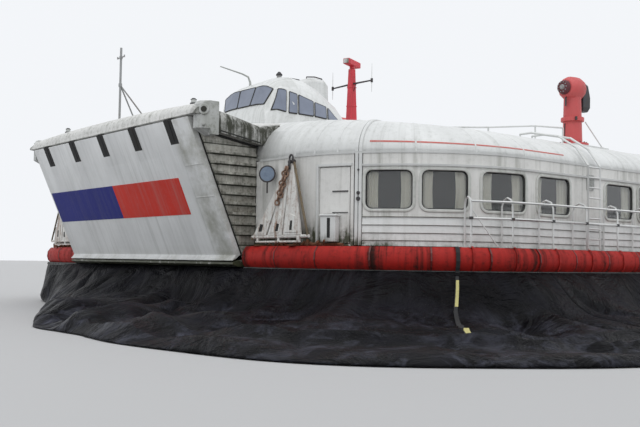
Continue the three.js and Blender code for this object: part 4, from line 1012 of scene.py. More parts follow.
# Near-black strips in the gaps along the bow box's sides are painted shade.
bm = bmesh.new()
for side in (1, -1):
    for y, out, ends in ((5.45, 0.005, ((22.62, 4.78, 0.035), (24.1, 5.02, 0.035))),
                         (5.20, 0.05, ((22.64, 4.69, 0.05), (24.0, 4.91, 0.05)))):
        sweep(bm, [[Vector((x, side * (y + more), level + lift))
                    for more, lift in ((0, 0), (out, 0), (out, tall), (0, tall))] for x, level, tall in ends])
settle(bm, "bow_box_gap_shades", seal_and_gap_shade)

# Cabin sides
# Rows of round-cornered windows in pale clamped frames, over a foot of four lapped boards. A double
# strip covers the joint by the crew door and runs up over the roof's shoulder.
WINDOW = {"tall": 0.94, "low": 2.95, "round": 0.16}
CORNER_WINDOWS = [39.5, 57.5, 79.0]
SIDE_WINDOWS = [17.3] + [14.35 - PANEL * i for i in range(17)]
FRAME_SECTION = [(-0.004, -0.06), (-0.004, 0.018), (0.012, 0.030), (0.055, 0.030), (0.070, 0.020), (0.072, -0.01)]


def turn_run(turn):
    """The way round from the middle of the bow to a turn of the bow corner in degrees."""
    return CABIN["half"] - CABIN["bow"] + CABIN["bow"] * math.radians(turn)


def side_run(x):
    """The way round from the middle of the bow to a distance along the side."""
    return turn_run(90) + CABIN["front"] - CABIN["bow"] - x


WINDOW_RUNS = [turn_run(turn) for turn in CORNER_WINDOWS] + [side_run(x) for x in SIDE_WINDOWS]
WIDTHS = [1.14, 1.14] + [1.34] * (len(WINDOW_RUNS) - 2)


def on_wall(run, level, out=0.0, side=1):
    """A point on the cabin wall, a way round from the middle of the bow."""
    edge, outward = round_plan(CABIN, side * run_place(CABIN, run))
    return edge + outward * out + UP * level


def box_section(near, far, low, top):
    """A rectangle of [out, level] points."""
    return [(near, low), (far, low), (far, top), (near, top)]


def wall_strip(bm, side, first, last, count, section):
    """A strip along the cabin wall between two ways round, with a section of [out, level] points."""
    sweep(bm, [[on_wall(first + (last - first) * k / count, z, out, side) for out, z in section]
               for k in range(count + 1)])


def rounded_path(wide, tall, corner, steps=4, mids=3):
    """Points and outward directions round a rectangle with round corners, in its own plane."""
    path = []
    turns = ((1, 1), (-1, 1), (-1, -1), (1, -1))
    for i, (u, v) in enumerate(turns):
        for k in range(steps + 1):
            a = (i + k / steps) * math.pi / 2
            direction = (math.cos(a), math.sin(a))
            path.append((u * (wide / 2 - corner) + corner * direction[0],
                         v * (tall / 2 - corner) + corner * direction[1], *direction))
        last, (u, v) = path[-1], turns[(i + 1) % 4]
        goal = (u * (wide / 2 - corner) + corner * last[2], v * (tall / 2 - corner) + corner * last[3])
        for k in range(1, mids + 1):
            share = k / (mids + 1)
            path.append((last[0] + (goal[0] - last[0]) * share, last[1] + (goal[1] - last[1]) * share, *last[2:]))
    return path


def window_frame(bm, run, middle, side, wide, tall, corner, section=FRAME_SECTION):
    """A moulded frame round an opening in the cabin wall, bent to the wall's own curve."""
    sweep(bm, [[on_wall(run + u + du * away, middle + v + dv * away, out, side) for away, out in section]
               for u, v, du, dv in rounded_path(wide, tall, corner)], "joined")


frame_pale = painted("frame_pale", (0.55, 0.56, 0.53), speckle=0.35, dull=0.35)
gasket = painted("window_gasket", (0.015, 0.015, 0.015), (0.05, 0.05, 0.04), speckle=0.5, dull=0.6)
GASKET_SECTION = [(-0.030, -0.06), (-0.030, -0.018), (-0.018, 0.002), (0.004, 0.012), (0.004, -0.06)]
middle = WINDOW["low"] + WINDOW["tall"] / 2
for name, finish, slot, section in (("window_frames", frame_pale, "hull_white", FRAME_SECTION),
                                    ("window_gaskets", gasket, "dark_metal", GASKET_SECTION)):
    bm = bmesh.new()
    for side in (1, -1):
        for run, wide in zip(WINDOW_RUNS, WIDTHS):
            window_frame(bm, run, middle, side, wide, WINDOW["tall"], WINDOW["round"], section)
    settle(bm, name, finish)

# The wall's outer skin is one panel round each window with plain strips between, under and over them
SKIN = {"deep": 0.07, "low": 2.80, "top": 4.03, "reach": 0.81}
skin_band = box_section(-SKIN["deep"], 0, SKIN["low"], SKIN["top"])
cells = []
for i, (run, wide) in enumerate(zip(WINDOW_RUNS, WIDTHS)):
    sides = [run - turn_run(WALL_TURN) if i == 0 else SKIN["reach"], SKIN["reach"]]
    for end, j in enumerate((i - 1, i + 1)):
        if 0 <= j < len(WIDTHS):
            sides[end] = min((abs(WINDOW_RUNS[j] - run) + (wide - WIDTHS[j]) / 2) / 2, SKIN["reach"])
    cells.append(sides)
cells[0][0] = min(cells[0][0], SKIN["reach"])
bm = bmesh.new()
for low, top in ((2.065, SKIN["low"]), (SKIN["top"], 4.315)):
    moulding(bm, CABIN, corner_place(WALL_TURN), WALL_LAST, 0.25, box_section(-SKIN["deep"], 0, low, top))
for side in (1, -1):
    past = WINDOW_RUNS[0] - cells[0][0]
    for run, wide, (fore, aft) in zip(WINDOW_RUNS, WIDTHS, cells):
        if run - fore - past > 0.01:
            wall_strip(bm, side, past, run - fore, 5, skin_band)
        past = run + aft
        rows = []
        straight_u, straight_v = wide / 2 - WINDOW["round"], WINDOW["tall"] / 2 - WINDOW["round"]
        for u, v, du, dv in rounded_path(wide, WINDOW["tall"], WINDOW["round"]):
            edge_u = aft if u > 0 else fore
            edge_v = SKIN["top"] - middle if v > 0 else middle - SKIN["low"]
            far_u, far_v = math.copysign(edge_u, u), math.copysign(edge_v, v)
            if abs(du) > abs(dv) + 1e-6:
                lift = abs(dv / du)
                far_v = v if lift < 1e-6 else math.copysign(straight_v + lift * (edge_v - straight_v), v)
            elif abs(dv) > abs(du) + 1e-6:
                lift = abs(du / dv)
                far_u = u if lift < 1e-6 else math.copysign(straight_u + lift * (edge_u - straight_u), u)
            rows.append([on_wall(run + a, middle + b, out, side) for a, b, out in
                         ((far_u, far_v, 0), (u, v, 0), (u, v, -SKIN["deep"]), (far_u, far_v, -SKIN["deep"]))])
        sweep(bm, rows, "joined")
moulding(bm, CABIN, run_place(CABIN, past), WALL_LAST, 0.25, skin_band)
skin = settle(bm, "cabin_wall_skin", hull_white, sharp=30)
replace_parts(skin, *both("cabin_wall"))

bm = bmesh.new()
for side in (1, -1):
    for run, wide in zip(WINDOW_RUNS, WIDTHS):
        wall_strip(bm, side, run - wide / 2, run + wide / 2, 6,
                   box_section(-0.038, -0.028, WINDOW["low"], WINDOW["low"] + WINDOW["tall"]))
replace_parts(settle(bm, "cabin_panes", glass), *both("cabin_glass"))

# Levels of the feet of the lapped boards
LAPS = [2.07, 2.205, 2.385, 2.575, 2.765]
boards = [(-0.01, LAPS[0])]
for foot, head in zip(LAPS, LAPS[1:]):
    boards += [(0.032, foot), (0.006, head - 0.005)]
boards[-1:] = [(0.0, LAPS[-1]), (-0.01, LAPS[-1])]
# Thin near-black strips under the lip of each board are painted shadow.
lap_shadow = painted("lap_shadow", (0.09, 0.08, 0.065), streaks=0.6, speckle=0.6, dull=0.8)
bm, lap_shadows = bmesh.new(), bmesh.new()
moulding(bm, CABIN, corner_place(WALL_TURN), WALL_LAST, 0.3, boards)
for z in (2.2025, 2.383, 2.573, 2.768):
    moulding(lap_shadows, CABIN, corner_place(WALL_TURN), WALL_LAST, 0.3, box_section(0.0, 0.029, z - 0.009, z + 0.003))
settle(bm, "lapped_boards", trim_white)
settle(lap_shadows, "board_lap_shadows", lap_shadow)

bm = bmesh.new()
half, proud = 0.045, 0.030
for side in (1, -1):
    for turn in (28.9, 30.2):
        place = side * corner_place(turn)
        edge, outward, across = stand(CABIN, place)
        sweep(bm, [[edge + UP * z - across * half, edge + UP * z + outward * proud - across * (half - 0.01),
                    edge + UP * z + outward * proud + across * (half - 0.01), edge + UP * z + across * half]
                   for z in (2.08, 3.2, 4.30)])
        over_shoulder(bm, place, half, proud, inboard=0.5)
settle(bm, "joint_strip", trim_white)

# Curtains
# Unlined cotton curtains, faded to beige, drawn aside in a gather between each pair of windows
# and hung from a rail inside the glass.
curtain_cloth = mottled("curtain_cotton", (0.74, 0.67, 0.54), (0.88, 0.84, 0.74), 3.0, 4.0, Roughness=0.9,
                        Sheen_Weight=0.2)
tree = curtain_cloth.node_tree
thread = shade(tree, "TexWave", {"Vector": located(tree)[0], "Scale": 90.0, "Distortion": 0.6}, bands_direction="Z")
ribbing = shade(tree, "Bump", {"Height": thread.outputs["Fac"], "Strength": 0.25, "Distance": 0.002})
tree.links.new(ribbing.outputs[0], tree.nodes["Principled BSDF"].inputs["Normal"])

SIDES = ((1, "port"), (-1, "starboard"))
CURTAIN = {"low": 2.80, "top": 3.98, "out": -0.145, "gather": 4.0}
bm = bmesh.new()
for side in (1, -1):
    rod(bm, [on_wall(turn_run(32) + i * 0.5, CURTAIN["top"] + 0.03, CURTAIN["out"], side) for i in range(68)],
        0.015, sides=6)
settle(bm, "curtain_rails", steel)
spans = [(WINDOW_RUNS[0] - 0.62, WINDOW_RUNS[0] - 0.28)]
for run, wide, after, after_wide in zip(WINDOW_RUNS, WIDTHS, WINDOW_RUNS[1:], WIDTHS[1:]):
    if after - run < 2.0:
        spans.append((run + wide * 0.24, after - after_wide * 0.24))
    else:
        spans += [(run + wide * 0.24, run + wide * 0.66), (after - after_wide * 0.66, after - after_wide * 0.24)]
spans.append((WINDOW_RUNS[-1] + WIDTHS[-1] * 0.24, WINDOW_RUNS[-1] + WIDTHS[-1] * 0.66))
for side, label in SIDES:
    for i, ends in enumerate(spans):
        bm = bmesh.new()
        bmesh.ops.create_grid(bm, x_segments=26, y_segments=6, size=1.0)
        for vert in bm.verts:
            u, v = (vert.co.x + 1) / 2, (vert.co.y + 1) / 2
            gather = 1.0 - 0.05 * math.sin(math.pi * v) ** 2
            along = (ends[0] + ends[1]) / 2 + (u - 0.5) * (ends[1] - ends[0]) * gather
            ripple = 0.030 * math.sin(2 * math.pi * CURTAIN["gather"] * u + i)
            vert.co = on_wall(along, CURTAIN["low"] + (CURTAIN["top"] - CURTAIN["low"]) * v,
                              CURTAIN["out"] + ripple, side)
        curtain = settle(bm, f"curtain_{label}_{i + 1}", curtain_cloth, smooth=True, closed=False)
        thicken(curtain, 0.002)

lining = painted("cabin_lining", (0.045, 0.042, 0.040), (0.06, 0.06, 0.05), 0.2, 0.2, dull=0.7)
dress(lining, *both("inner_wall"))

# Crew doors and what stands beside them
# Each door is a light alloy leaf with two dark straps, in a raised frame. A step box of folded
# alloy hangs at its foot and swings with it. A louvred vent is set in the wall further aft.
door_run = turn_run(21.0)
door_wide = CABIN["bow"] * math.radians(11.2)
for side, label in SIDES:
    bm = bmesh.new()
    for low, high in ((3.375, 3.405), (2.86, 2.88)):
        wall_strip(bm, side, door_run - door_wide * 0.05, door_run + door_wide * 0.45, 2,
                   box_section(0.0, 0.022, low, high))
    settle(bm, f"crew_door_straps_{label}", dark_iron, f"crew_door_{label}")
    foot = wall_frame(CABIN, side * run_place(CABIN, turn_run(20.4)), 2.13, 0.02)
    turned = foot @ Matrix.Rotation(math.radians(5 * side), 4, "Y")
    # The slots in each step box are near-black plates, painted shade.
    bm, slot_shades = bmesh.new(), bmesh.new()
    for mesh, low, high in ((bm, (-0.20, 0.02, 0.0), (0.20, 0.66, 0.24)),
                            (bm, (-0.23, 0.64, -0.01), (0.23, 0.69, 0.27)),
                            (slot_shades, (-0.02, 0.12, 0.235), (0.06, 0.60, 0.245)),
                            (slot_shades, (-0.14, 0.695, 0.06), (0.14, 0.70, 0.20))):
        block(mesh, low, high, turned)
    ease(settle(bm, f"step_box_{label}", trim_white, f"crew_door_{label}"), 0.02)
    settle(slot_shades, f"step_box_slot_shades_{label}", seal_and_gap_shade, f"crew_door_{label}")

bm, catches = bmesh.new(), bmesh.new()
left, right = door_run - door_wide / 2, door_run + door_wide / 2
for side in (1, -1):
    facing = round_plan(CABIN, side * run_place(CABIN, turn_run(29.6)))[1]
    for z, radius in ((3.34, 0.050), (3.20, 0.060), (3.90, 0.028)):
        plug(catches, on_wall(turn_run(29.6), z, 0.02, side), facing, radius, 0.045, sides=14, tip=radius * 0.7)
    for far, low, high in ((left - 0.03, 2.08, 4.05), (right + 0.05, 4.01, 4.07)):
        wall_strip(bm, side, left - 0.09, far, 4, box_section(-0.01, 0.03, low, high))
settle(catches, "joint_catches", dark_iron)
settle(bm, "crew_door_frames", trim_white)

bm = bmesh.new()
for side in (1, -1):
    run = side_run(15.72)
    for k in range(6):
        z = 3.72 + 0.055 * k
        sweep(bm, [[on_wall(run + u, z + rise, out + more, side)
                    for u, more in ((-0.13, 0.0), (0.13, 0.0), (0.13, 0.006), (-0.13, 0.006))]
                   for rise, out in ((0.0, 0.028), (0.045, 0.004))])
    window_frame(bm, run, 3.87, side, 0.27, 0.36, 0.02, [(0.0, -0.01), (0.0, 0.03), (0.03, 0.03), (0.03, -0.01)])
settle(bm, "side_louvres", housing_grey)

# Lifting frames
# Each is an A of welded steel hinged along its base bar and laid back against the wall, with three
# flat legs, a shackle at its head and two rusty chains hung down between them. Pads and scraps of
# rusty steel lie on the deck round its foot.
FRAME = {"x": 22.84, "y": 6.50, "z": 2.16, "head": 2.05}
rusted_white = painted("rusted_white", (0.70, 0.70, 0.67), (0.20, 0.085, 0.03), 1.5, 0.75, fine=1.6, dull=0.55)
rust = painted("rust", (0.14, 0.050, 0.020), (0.035, 0.018, 0.012), 0.9, 0.9, fine=2.0, dull=0.8, bump=0.3)
chain_rust = painted("chain_rust", (0.27, 0.17, 0.12), (0.06, 0.025, 0.012), 0.6, 1.0, fine=2.5, dull=0.8,
                     bump=0.3)
stay_brown = painted("stay_brown", (0.17, 0.13, 0.08), (0.05, 0.04, 0.03), 0.8, 0.9, dull=0.8)


def on_frame(side, across, up, out=0.0):
    """A point on a lifting frame: across from its middle, up its slope and out from it."""
    lean = math.atan2(0.12, FRAME["head"])
    return Vector((FRAME["x"] - up * math.sin(lean) + out * math.cos(lean), side * (FRAME["y"] + across),
                   FRAME["z"] + up * math.cos(lean) + out * math.sin(lean)))


def plates(bm, side, outlines, near, far):
    """Flat plates on a lifting frame, from their outlines of [across, up]."""
    for outline in outlines:
        sweep(bm, [[on_frame(side, across, up, out) for across, up in outline] for out in (near, far)])


def bar(bm, side, points, radius):
    """A round bar on a lifting frame through points of [across, up, out]."""
    rod(bm, [on_frame(side, *point) for point in points], radius)


def chain(bm, points, link, wire):
    """A chain of links laid along a run of points, each turned a quarter from the last."""
    line = [Vector(point) for point in points]
    total = sum((b - a).length for a, b in zip(line, line[1:]))
    count = int(total / (link * 0.72))
    for i in range(count):
        goal = total * (i + 0.5) / count
        for a, b in zip(line, line[1:]):
            if goal <= (b - a).length:
                break
            goal -= (b - a).length
        at = a.lerp(b, min(goal / (b - a).length, 1.0))
        along = (b - a).normalized()
        wide = along.orthogonal().normalized()
        if i % 2:
            wide = along.cross(wide)
        ring = [at + along * (link / 2 - wire) * math.cos(a) + wide * link * 0.30 * math.sin(a)
                for a in spread_round(12)]
        rod(bm, ring, wire, sides=6, loop=True)


APEX = 0.47
LEGS = [[(-0.98, 0.16), (-0.42, 0.16), (APEX - 0.16, 1.72), (APEX - 0.06, 1.98)],
        [(-0.34, 0.16), (0.26, 0.16), (APEX - 0.02, 1.90), (APEX - 0.10, 1.90)],
        [(0.32, 0.16), (1.04, 0.16), (APEX + 0.10, 1.94), (APEX, 1.98)]]
DOUBLERS = [[(-0.26, 0.22), (0.16, 0.22), (0.26, 0.62), (0.14, 0.70)],
            [(0.40, 0.22), (0.92, 0.22), (0.84, 0.62), (0.56, 0.70)],
            [(-0.90, 0.20), (-0.50, 0.20), (-0.34, 0.55), (-0.55, 0.62)]]
HOLES = [[(-0.72, 0.26), (-0.58, 0.26), (-0.52, 0.44), (-0.66, 0.46)],
         [(0.00, 0.26), (0.12, 0.26), (0.16, 0.44), (0.06, 0.46)],
         [(0.60, 0.28), (0.70, 0.28), (0.70, 0.52), (0.62, 0.52)]]
for side, label in SIDES:
    body = f"lifting_frame_{label}"
    bm = bmesh.new()
    plates(bm, side, LEGS, -0.01, 0.05)
    plates(bm, side, DOUBLERS, 0.045, 0.065)
    bar(bm, side, [(-1.08, 0.13), (1.33, 0.13)], 0.045)
    plug(bm, on_frame(side, 0.92, 0.13), -UP, 0.06, 0.10, sides=12)
    for across in (-0.82, 0.10, 0.92):
        bar(bm, side, [(across, 0.0), (across, 0.16)], 0.040)
    bar(bm, side, [(-0.90, 0.0), (1.00, 0.0)], 0.028)
    legs = settle(bm, f"lifting_frame_plates_{label}", rusted_white, body)
    ease(legs, 0.010)
    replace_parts(legs, f"lifting_frame_{label}")
    # Near-black plates over the holes in the legs are painted shade.
    bm = bmesh.new()
    plates(bm, side, HOLES, 0.062, 0.069)
    settle(bm, f"lifting_frame_hole_shades_{label}", seal_and_gap_shade, body)
    bm = bmesh.new()
    bar(bm, side, [(1.30, 0.14, 0.02), (APEX + 0.10, 2.0, 0.02)], 0.030)
    bar(bm, side, [(-1.04, 0.14, 0.02), (-1.04, 0.05, 0.02)], 0.028)
    settle(bm, f"lifting_frame_stay_{label}", stay_brown, body)
    bm = bmesh.new()
    head = on_frame(side, APEX, FRAME["head"] + 0.03, 0.02)
    rod(bm, [head + Vector((0.02, side * 0.07 * math.sin(a), 0.09 * math.cos(a) + 0.02)) for a in spread_round(14)],
        0.026, loop=True)
    plug(bm, head + Vector((0.0, -side * 0.11, -0.06)), (0, side, 0), 0.05, 0.22, sides=8)
    rod(bm, [head + Vector((x, 0, z)) for x, z in ((0.06, -0.02), (0.09, -0.16), (0.06, -0.24), (0.02, -0.20))],
        [0.03, 0.035, 0.03, 0.012])
    settle(bm, f"lifting_hook_{label}", dark_iron, body)
    bm = bmesh.new()
    for points in ([(APEX - 0.12, 1.90, 0.10), (0.20, 1.45, 0.11), (0.06, 0.92, 0.11)],
                   [(APEX - 0.03, 1.90, 0.10), (0.32, 1.50, 0.11), (0.19, 1.10, 0.11)]):
        chain(bm, [on_frame(side, *point) for point in points], 0.17, 0.024)
    settle(bm, f"lifting_chain_{label}", chain_rust, body)

bm = bmesh.new()
for side in (1, -1):
    for across in (-0.72, 0.72):
        block(bm, (22.62, side * (6.5 + across) - 0.12, 2.06), (22.95, side * (6.5 + across) + 0.12, 2.085))
    rod(bm, [(22.70, side * 7.55, 2.09), (22.66, side * 7.9, 2.10), (22.35, side * 8.3, 2.10),
             (22.42, side * 8.6, 2.09)], 0.035)
    for i in range(16):
        place = 0.5 + 0.5 * (5.6 + 0.16 * i) / 6.9 if i < 8 else 1.0 + 0.022 * (i - 7)
        edge, outward = round_plan(HULL, side * place)
        at = edge - outward * (0.16 + 0.05 * (i % 3)) + UP * 2.07
        rod(bm, [at, at + Vector((0.10 * math.cos(0.9 * i), 0.14 * math.sin(0.9 * i), 0.03 + 0.03 * (i % 4)))],
            0.025 + 0.012 * (i % 3))
settle(bm, "deck_corner_fittings", rust)

# Round marker on a stalk
# A slate-blue enamelled disc in a dark rim stands on a short stalk at each inner bow corner. It
# faces forward and outboard.
disc_blue = mottled("disc_blue", (0.10, 0.14, 0.21), (0.22, 0.28, 0.36), 26.0, 6.0, Roughness=0.35)
DISC = {"x": 22.83, "y": 6.05, "z": 3.92, "radius": 0.205, "facing": Vector((0.75, 0.62, 0.0)).normalized()}
discs, bm = bmesh.new(), bmesh.new()
for side in (1, -1):
    middle = Vector((DISC["x"], side * DISC["y"], DISC["z"]))
    facing = Vector((DISC["facing"].x, side * DISC["facing"].y, 0))
    across = facing.cross(UP)
    plug(discs, middle - facing * 0.01, facing, DISC["radius"], 0.03, sides=32, tip=DISC["radius"] * 0.9)
    rod(bm, [middle + (across * math.cos(a) + UP * math.sin(a)) * DISC["radius"] for a in spread_round(32)], 0.022,
        loop=True)
    rod(bm, [middle - UP * DISC["radius"], middle - UP * 0.50], 0.020)
    rod(bm, [middle - facing * 0.015, middle - facing * 0.07, (22.58, middle.y, middle.z)], 0.025)
settle(discs, "bow_discs", disc_blue)
settle(bm, "bow_disc_rims", dark_iron)

# Side rail fittings
# Each post is carried down over the red band as a thin strap painted the band's red, and short dark
# clips hold the lines. A brace runs down from the first post.
hull_front = HULL["front"] - HULL["bow"]
hull_long = hull_front - HULL["rear"] - HULL["stern"]
POST_PLACES = [1 + turn / 90 for turn in (62.4, 76.5)]
POST_PLACES += [2 + (hull_front - x) / hull_long for x in [18.0 - 1.4 * i for i in range(9)]]
STRAP = [(-0.10, 2.062), (-0.03, 2.062), (0.03, 2.03), (0.085, 1.92), (0.105, 1.72), (0.068, 1.57), (0.03, 1.50)]
bm, clips, braces = bmesh.new(), bmesh.new(), bmesh.new()
for side in (1, -1):
    for place in POST_PLACES:
        edge, outward, across = stand(HULL, side * place)
        sweep(bm, [bar_section(edge + outward * out + UP * z, across * 0.026, (UP if i < 2 else outward) * 0.012)
                   for i, (out, z) in enumerate(STRAP)])
        block(clips, (-0.038, -0.038, -0.032), (0.038, 0.038, 0.032),
              Matrix.Translation(edge - outward * 0.10 + UP * 2.74)
              @ Matrix.Rotation(math.atan2(outward.y, outward.x), 4, "Z"))
        for out in (-0.10, -0.52):
            plug(braces, edge + outward * out + UP * 2.053, UP, 0.07, 0.018, sides=12)
    edge, outward = round_plan(HULL, side * POST_PLACES[0])
    foot, aft = round_plan(HULL, side * (POST_PLACES[0] + 0.10))
    rod(braces, [edge - outward * 0.12 + UP * 2.98, foot - aft * 0.12 + UP * 2.07], 0.016, sides=6)
settle(braces, "rail_braces", trim_white)
settle(bm, "rail_straps", band_red)
settle(clips, "rail_clips", dark_iron)

# Lashing over the skirt
# A dark webbing strap is made fast on the band and runs part of the way down the cloth. Two lengths
# of it are faded yellow.
webbing = painted("dark_webbing", (0.012, 0.012, 0.013), (0.05, 0.05, 0.05), 0.5, 0.6, fine=3.0, dull=0.8)
yellow_web = painted("yellow_webbing", (0.46, 0.42, 0.17), (0.10, 0.09, 0.04), 0.7, 0.5, fine=3.0, dull=0.8)
LASH_PLACE = 1.641
# How far the strap has slewed round the hull, at some shares of the cloth's fall
SLEW = [[0.0, 0.0], [0.05, -0.010], [0.2, -0.034], [0.4, -0.050], [0.52, -0.055], [0.8, -0.060], [1.0, -0.06]]


def down_strap(bm, start, near, far, half, proud):
    """A flat strap lying down the skirt cloth between two shares of its fall."""
    rows = []
    for i in range(15):
        down = near + (far - near) * i / 14
        place = start + between(SLEW, down)
        outward = round_plan(HULL, place)[1]
        left, right = cloth_point(place - half, down), cloth_point(place + half, down)
        after = cloth_point(place, min(down + 0.01, 1.0)) - cloth_point(place, max(down - 0.01, 0.0))
        lift = after.cross(right - left).normalized()
        if lift.dot(outward) < 0:
            lift = -lift
        lift = lift * 0.5 + outward * 0.5
        rows.append([left + lift * 0.008, right + lift * 0.008, right + lift * proud, left + lift * proud])
    sweep(bm, rows)


bm = bmesh.new()
edge, outward, across = stand(HULL, LASH_PLACE)
over_band = [(-0.30, 2.058), (-0.05, 2.06), *[(out + 0.012, z) for out, z in STRAP[2:]], (0.05, 1.42), (0.02, 1.38)]
sweep(bm, [bar_section(edge + outward * out + UP * z, across * 0.05, outward * 0.008 + UP * 0.006)
           for out, z in over_band])
down_strap(bm, LASH_PLACE, 0.03, 0.60, 0.0050, 0.060)
settle(bm, "lashing_strap", webbing)
bm = bmesh.new()
down_strap(bm, LASH_PLACE + 0.001, 0.05, 0.17, 0.0045, 0.075)
down_strap(bm, LASH_PLACE + 0.001, 0.50, 0.66, 0.0045, 0.085)
settle(bm, "lashing_ends", yellow_web)

# Control cabin
# A light alloy cabin on the roof. It has a raked windscreen of three panes, side panes that run out
# to a point as its roof falls away aft, and a raised hood behind.
# Rows are [x, foot half, sill half, sill, head half, head, inner half, inner level, crest].
CAB = [
    [19.74, 1.30, 1.26, 5.62, 1.24, 5.66, 0.90, 5.68, 5.69], [19.62, 1.46, 1.38, 6.42, 1.32, 6.50, 0.80, 6.53, 6.55],
    [19.50, 1.54, 1.42, 6.48, 1.22, 6.76, 0.80, 6.79, 6.80], [19.30, 1.68, 1.58, 6.50, 1.45, 7.28, 0.95, 7.45, 7.47],
    [19.02, 1.79, 1.68, 6.50, 1.49, 7.30, 1.00, 7.63, 7.68], [18.40, 1.93, 1.80, 6.48, 1.56, 7.17, 1.00, 7.84, 7.94],
    [17.80, 2.00, 1.88, 6.45, 1.64, 6.99, 1.00, 7.78, 7.93], [17.20, 2.00, 1.88, 6.40, 1.66, 6.86, 0.95, 7.60, 7.80],
    [16.60, 1.94, 1.80, 6.30, 1.62, 6.62, 0.90, 7.25, 7.48], [16.20, 1.84, 1.68, 6.15, 1.52, 6.35, 0.85, 6.85, 7.08],
    [15.70, 1.58, 1.38, 5.95, 1.20, 6.02, 0.70, 6.30, 6.48], [15.20, 1.08, 0.88, 5.70, 0.70, 5.73, 0.40, 5.80, 5.84],
]
CAB_FOOT = 5.46


def cab_ring(x, foot, sill_half, sill, head_half, head, inner, inner_level, crest):
    """One section across the control cabin, from its port foot over the top to starboard."""
    bulge = 0.05 if x < 19.1 else 0.0
    port = [Vector((x, foot, CAB_FOOT)), Vector((x, sill_half, sill)), Vector((x, head_half, head)),
            Vector((x, (head_half + inner) / 2 + bulge, (head + inner_level) / 2 + bulge)),
            Vector((x, inner, inner_level)), Vector((x, inner * 0.5, crest - (crest - inner_level) * 0.25))]
    return port + [Vector((x, 0, crest))] + [Vector((p.x, -p.y, p.z)) for p in reversed(port)]


def on_cab_side(x, share, out, side):
    """A point on the cabin's side between the sill line and the head line."""
    rows = sorted(CAB)
    low = Vector((x, between(rows, x, 2), between(rows, x, 3)))
    high = Vector((x, between(rows, x, 4), between(rows, x, 5)))
    lean = (high - low).normalized()
    at = low.lerp(high, share) + Vector((0, lean.z, -lean.y)) * out
    return Vector((at.x, side * at.y, at.z))


def on_windscreen(y, share, out):
    """A point on the raked windscreen, which drops a little to its sides."""
    low, high = Vector((19.50, y * 0.82, 6.80)), Vector((19.30, y, 7.47))
    drop = max(abs(y) - 0.95, 0.0) / 0.49
    low.z -= 0.04 * drop
    high.z -= 0.19 * drop
    slope = (high - low).normalized()
    return low.lerp(high, share) + Vector((slope.z, 0, -slope.x)) * out


cabin_white = painted("cabin_white", (0.68, 0.69, 0.68), streaks=0.35, speckle=0.22, fine=1.5)
cab_glass = mottled("control_cabin_glass", (0.14, 0.16, 0.21), (0.24, 0.27, 0.34), 4.0, 3.0, haze=(0.05, 0.18))

bm = bmesh.new()
sweep(bm, [cab_ring(*row) for row in CAB])
shell = settle(bm, "control_cabin_shell", cabin_white, sharp=32)
ease(shell, 0.05, segments=3, angle=28.0)
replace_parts(shell, "control_cabin")

SCREENS = [(-1.40, -0.50), (-0.44, 0.42), (0.48, 1.40)]
SIDE_PANES = [[(19.42, 0.16), (19.00, 0.04), (18.88, 0.97), (19.18, 0.97)],
              [(18.89, 0.02), (18.60, 0.02), (18.47, 0.97), (18.75, 0.97)],
              [(18.53, 0.02), (17.99, 0.02), (17.85, 0.97), (18.39, 0.97)],
              [(17.92, 0.02), (17.45, 0.02), (17.32, 0.96), (17.77, 0.96)],
              [(17.37, 0.02), (16.91, 0.02), (16.87, 0.28), (17.23, 0.92)]]


def rounded(outline, share=0.14):
    """An outline with its corners cut round and its edges divided, so that it can follow a curve."""
    points = []
    for i, corner in enumerate(outline):
        before, after = outline[i - 1], outline[(i + 1) % len(outline)]
        for t in (share, share * 0.35):
            points.append(tuple(c + (p - c) * t for c, p in zip(corner, before)))
        for t in (share * 0.35, share, 0.38, 0.62):
            points.append(tuple(c + (p - c) * t for c, p in zip(corner, after)))
    return points


def shrink(outline, share):
    """An outline drawn in towards its middle."""
    middle = [sum(values) / len(outline) for values in zip(*outline)]
    return [tuple(m + (value - m) * share for value, m in zip(point, middle)) for point in outline]


PANE_EDGE = [(-0.03, 1.09), (0.020, 1.09), (0.034, 1.05), (0.034, 1.00), (-0.03, 1.00)]
panes, rubbers = bmesh.new(), bmesh.new()
faces = [(on_windscreen, [(near, 0.04), (far, 0.04), (far, 0.95), (near, 0.95)]) for near, far in SCREENS]
faces += [(lambda x, share, out, side=side: on_cab_side(x, share, out, side), outline)
          for side in (1, -1) for outline in SIDE_PANES]
for on_face, outline in faces:
    outline = rounded(outline)
    sweep(panes, [[on_face(*point, out) for point in outline] for out in (-0.03, 0.026)])
    sizes = [shrink(outline, share) for _, share in PANE_EDGE]
    sweep(rubbers, [[on_face(*size[i], out) for size, (out, _) in zip(sizes, PANE_EDGE)]
                    for i in range(len(outline))], "joined")
panes = settle(panes, "control_cabin_panes", cab_glass)
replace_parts(panes, "control_cabin_glass")
settle(rubbers, "control_cabin_gaskets", gasket)

bm = bmesh.new()
HOOD = [[17.40, 0.48, 7.70, 7.90], [17.20, 0.58, 7.55, 8.05], [16.85, 0.62, 7.10, 8.10], [16.45, 0.60, 6.90, 8.08],
        [16.28, 0.54, 6.70, 7.98]]
sweep(bm, [[Vector((x, half * 1.15, low - 0.3)), Vector((x, half, high - 0.10)), Vector((x, half - 0.12, high)),
            Vector((x, 0.12 - half, high)), Vector((x, -half, high - 0.10)), Vector((x, -half * 1.15, low - 0.3))]
           for x, half, low, high in HOOD])
hood = settle(bm, "control_cabin_hood", cabin_white, sharp=40)
ease(hood, 0.05, segments=3, angle=40.0)

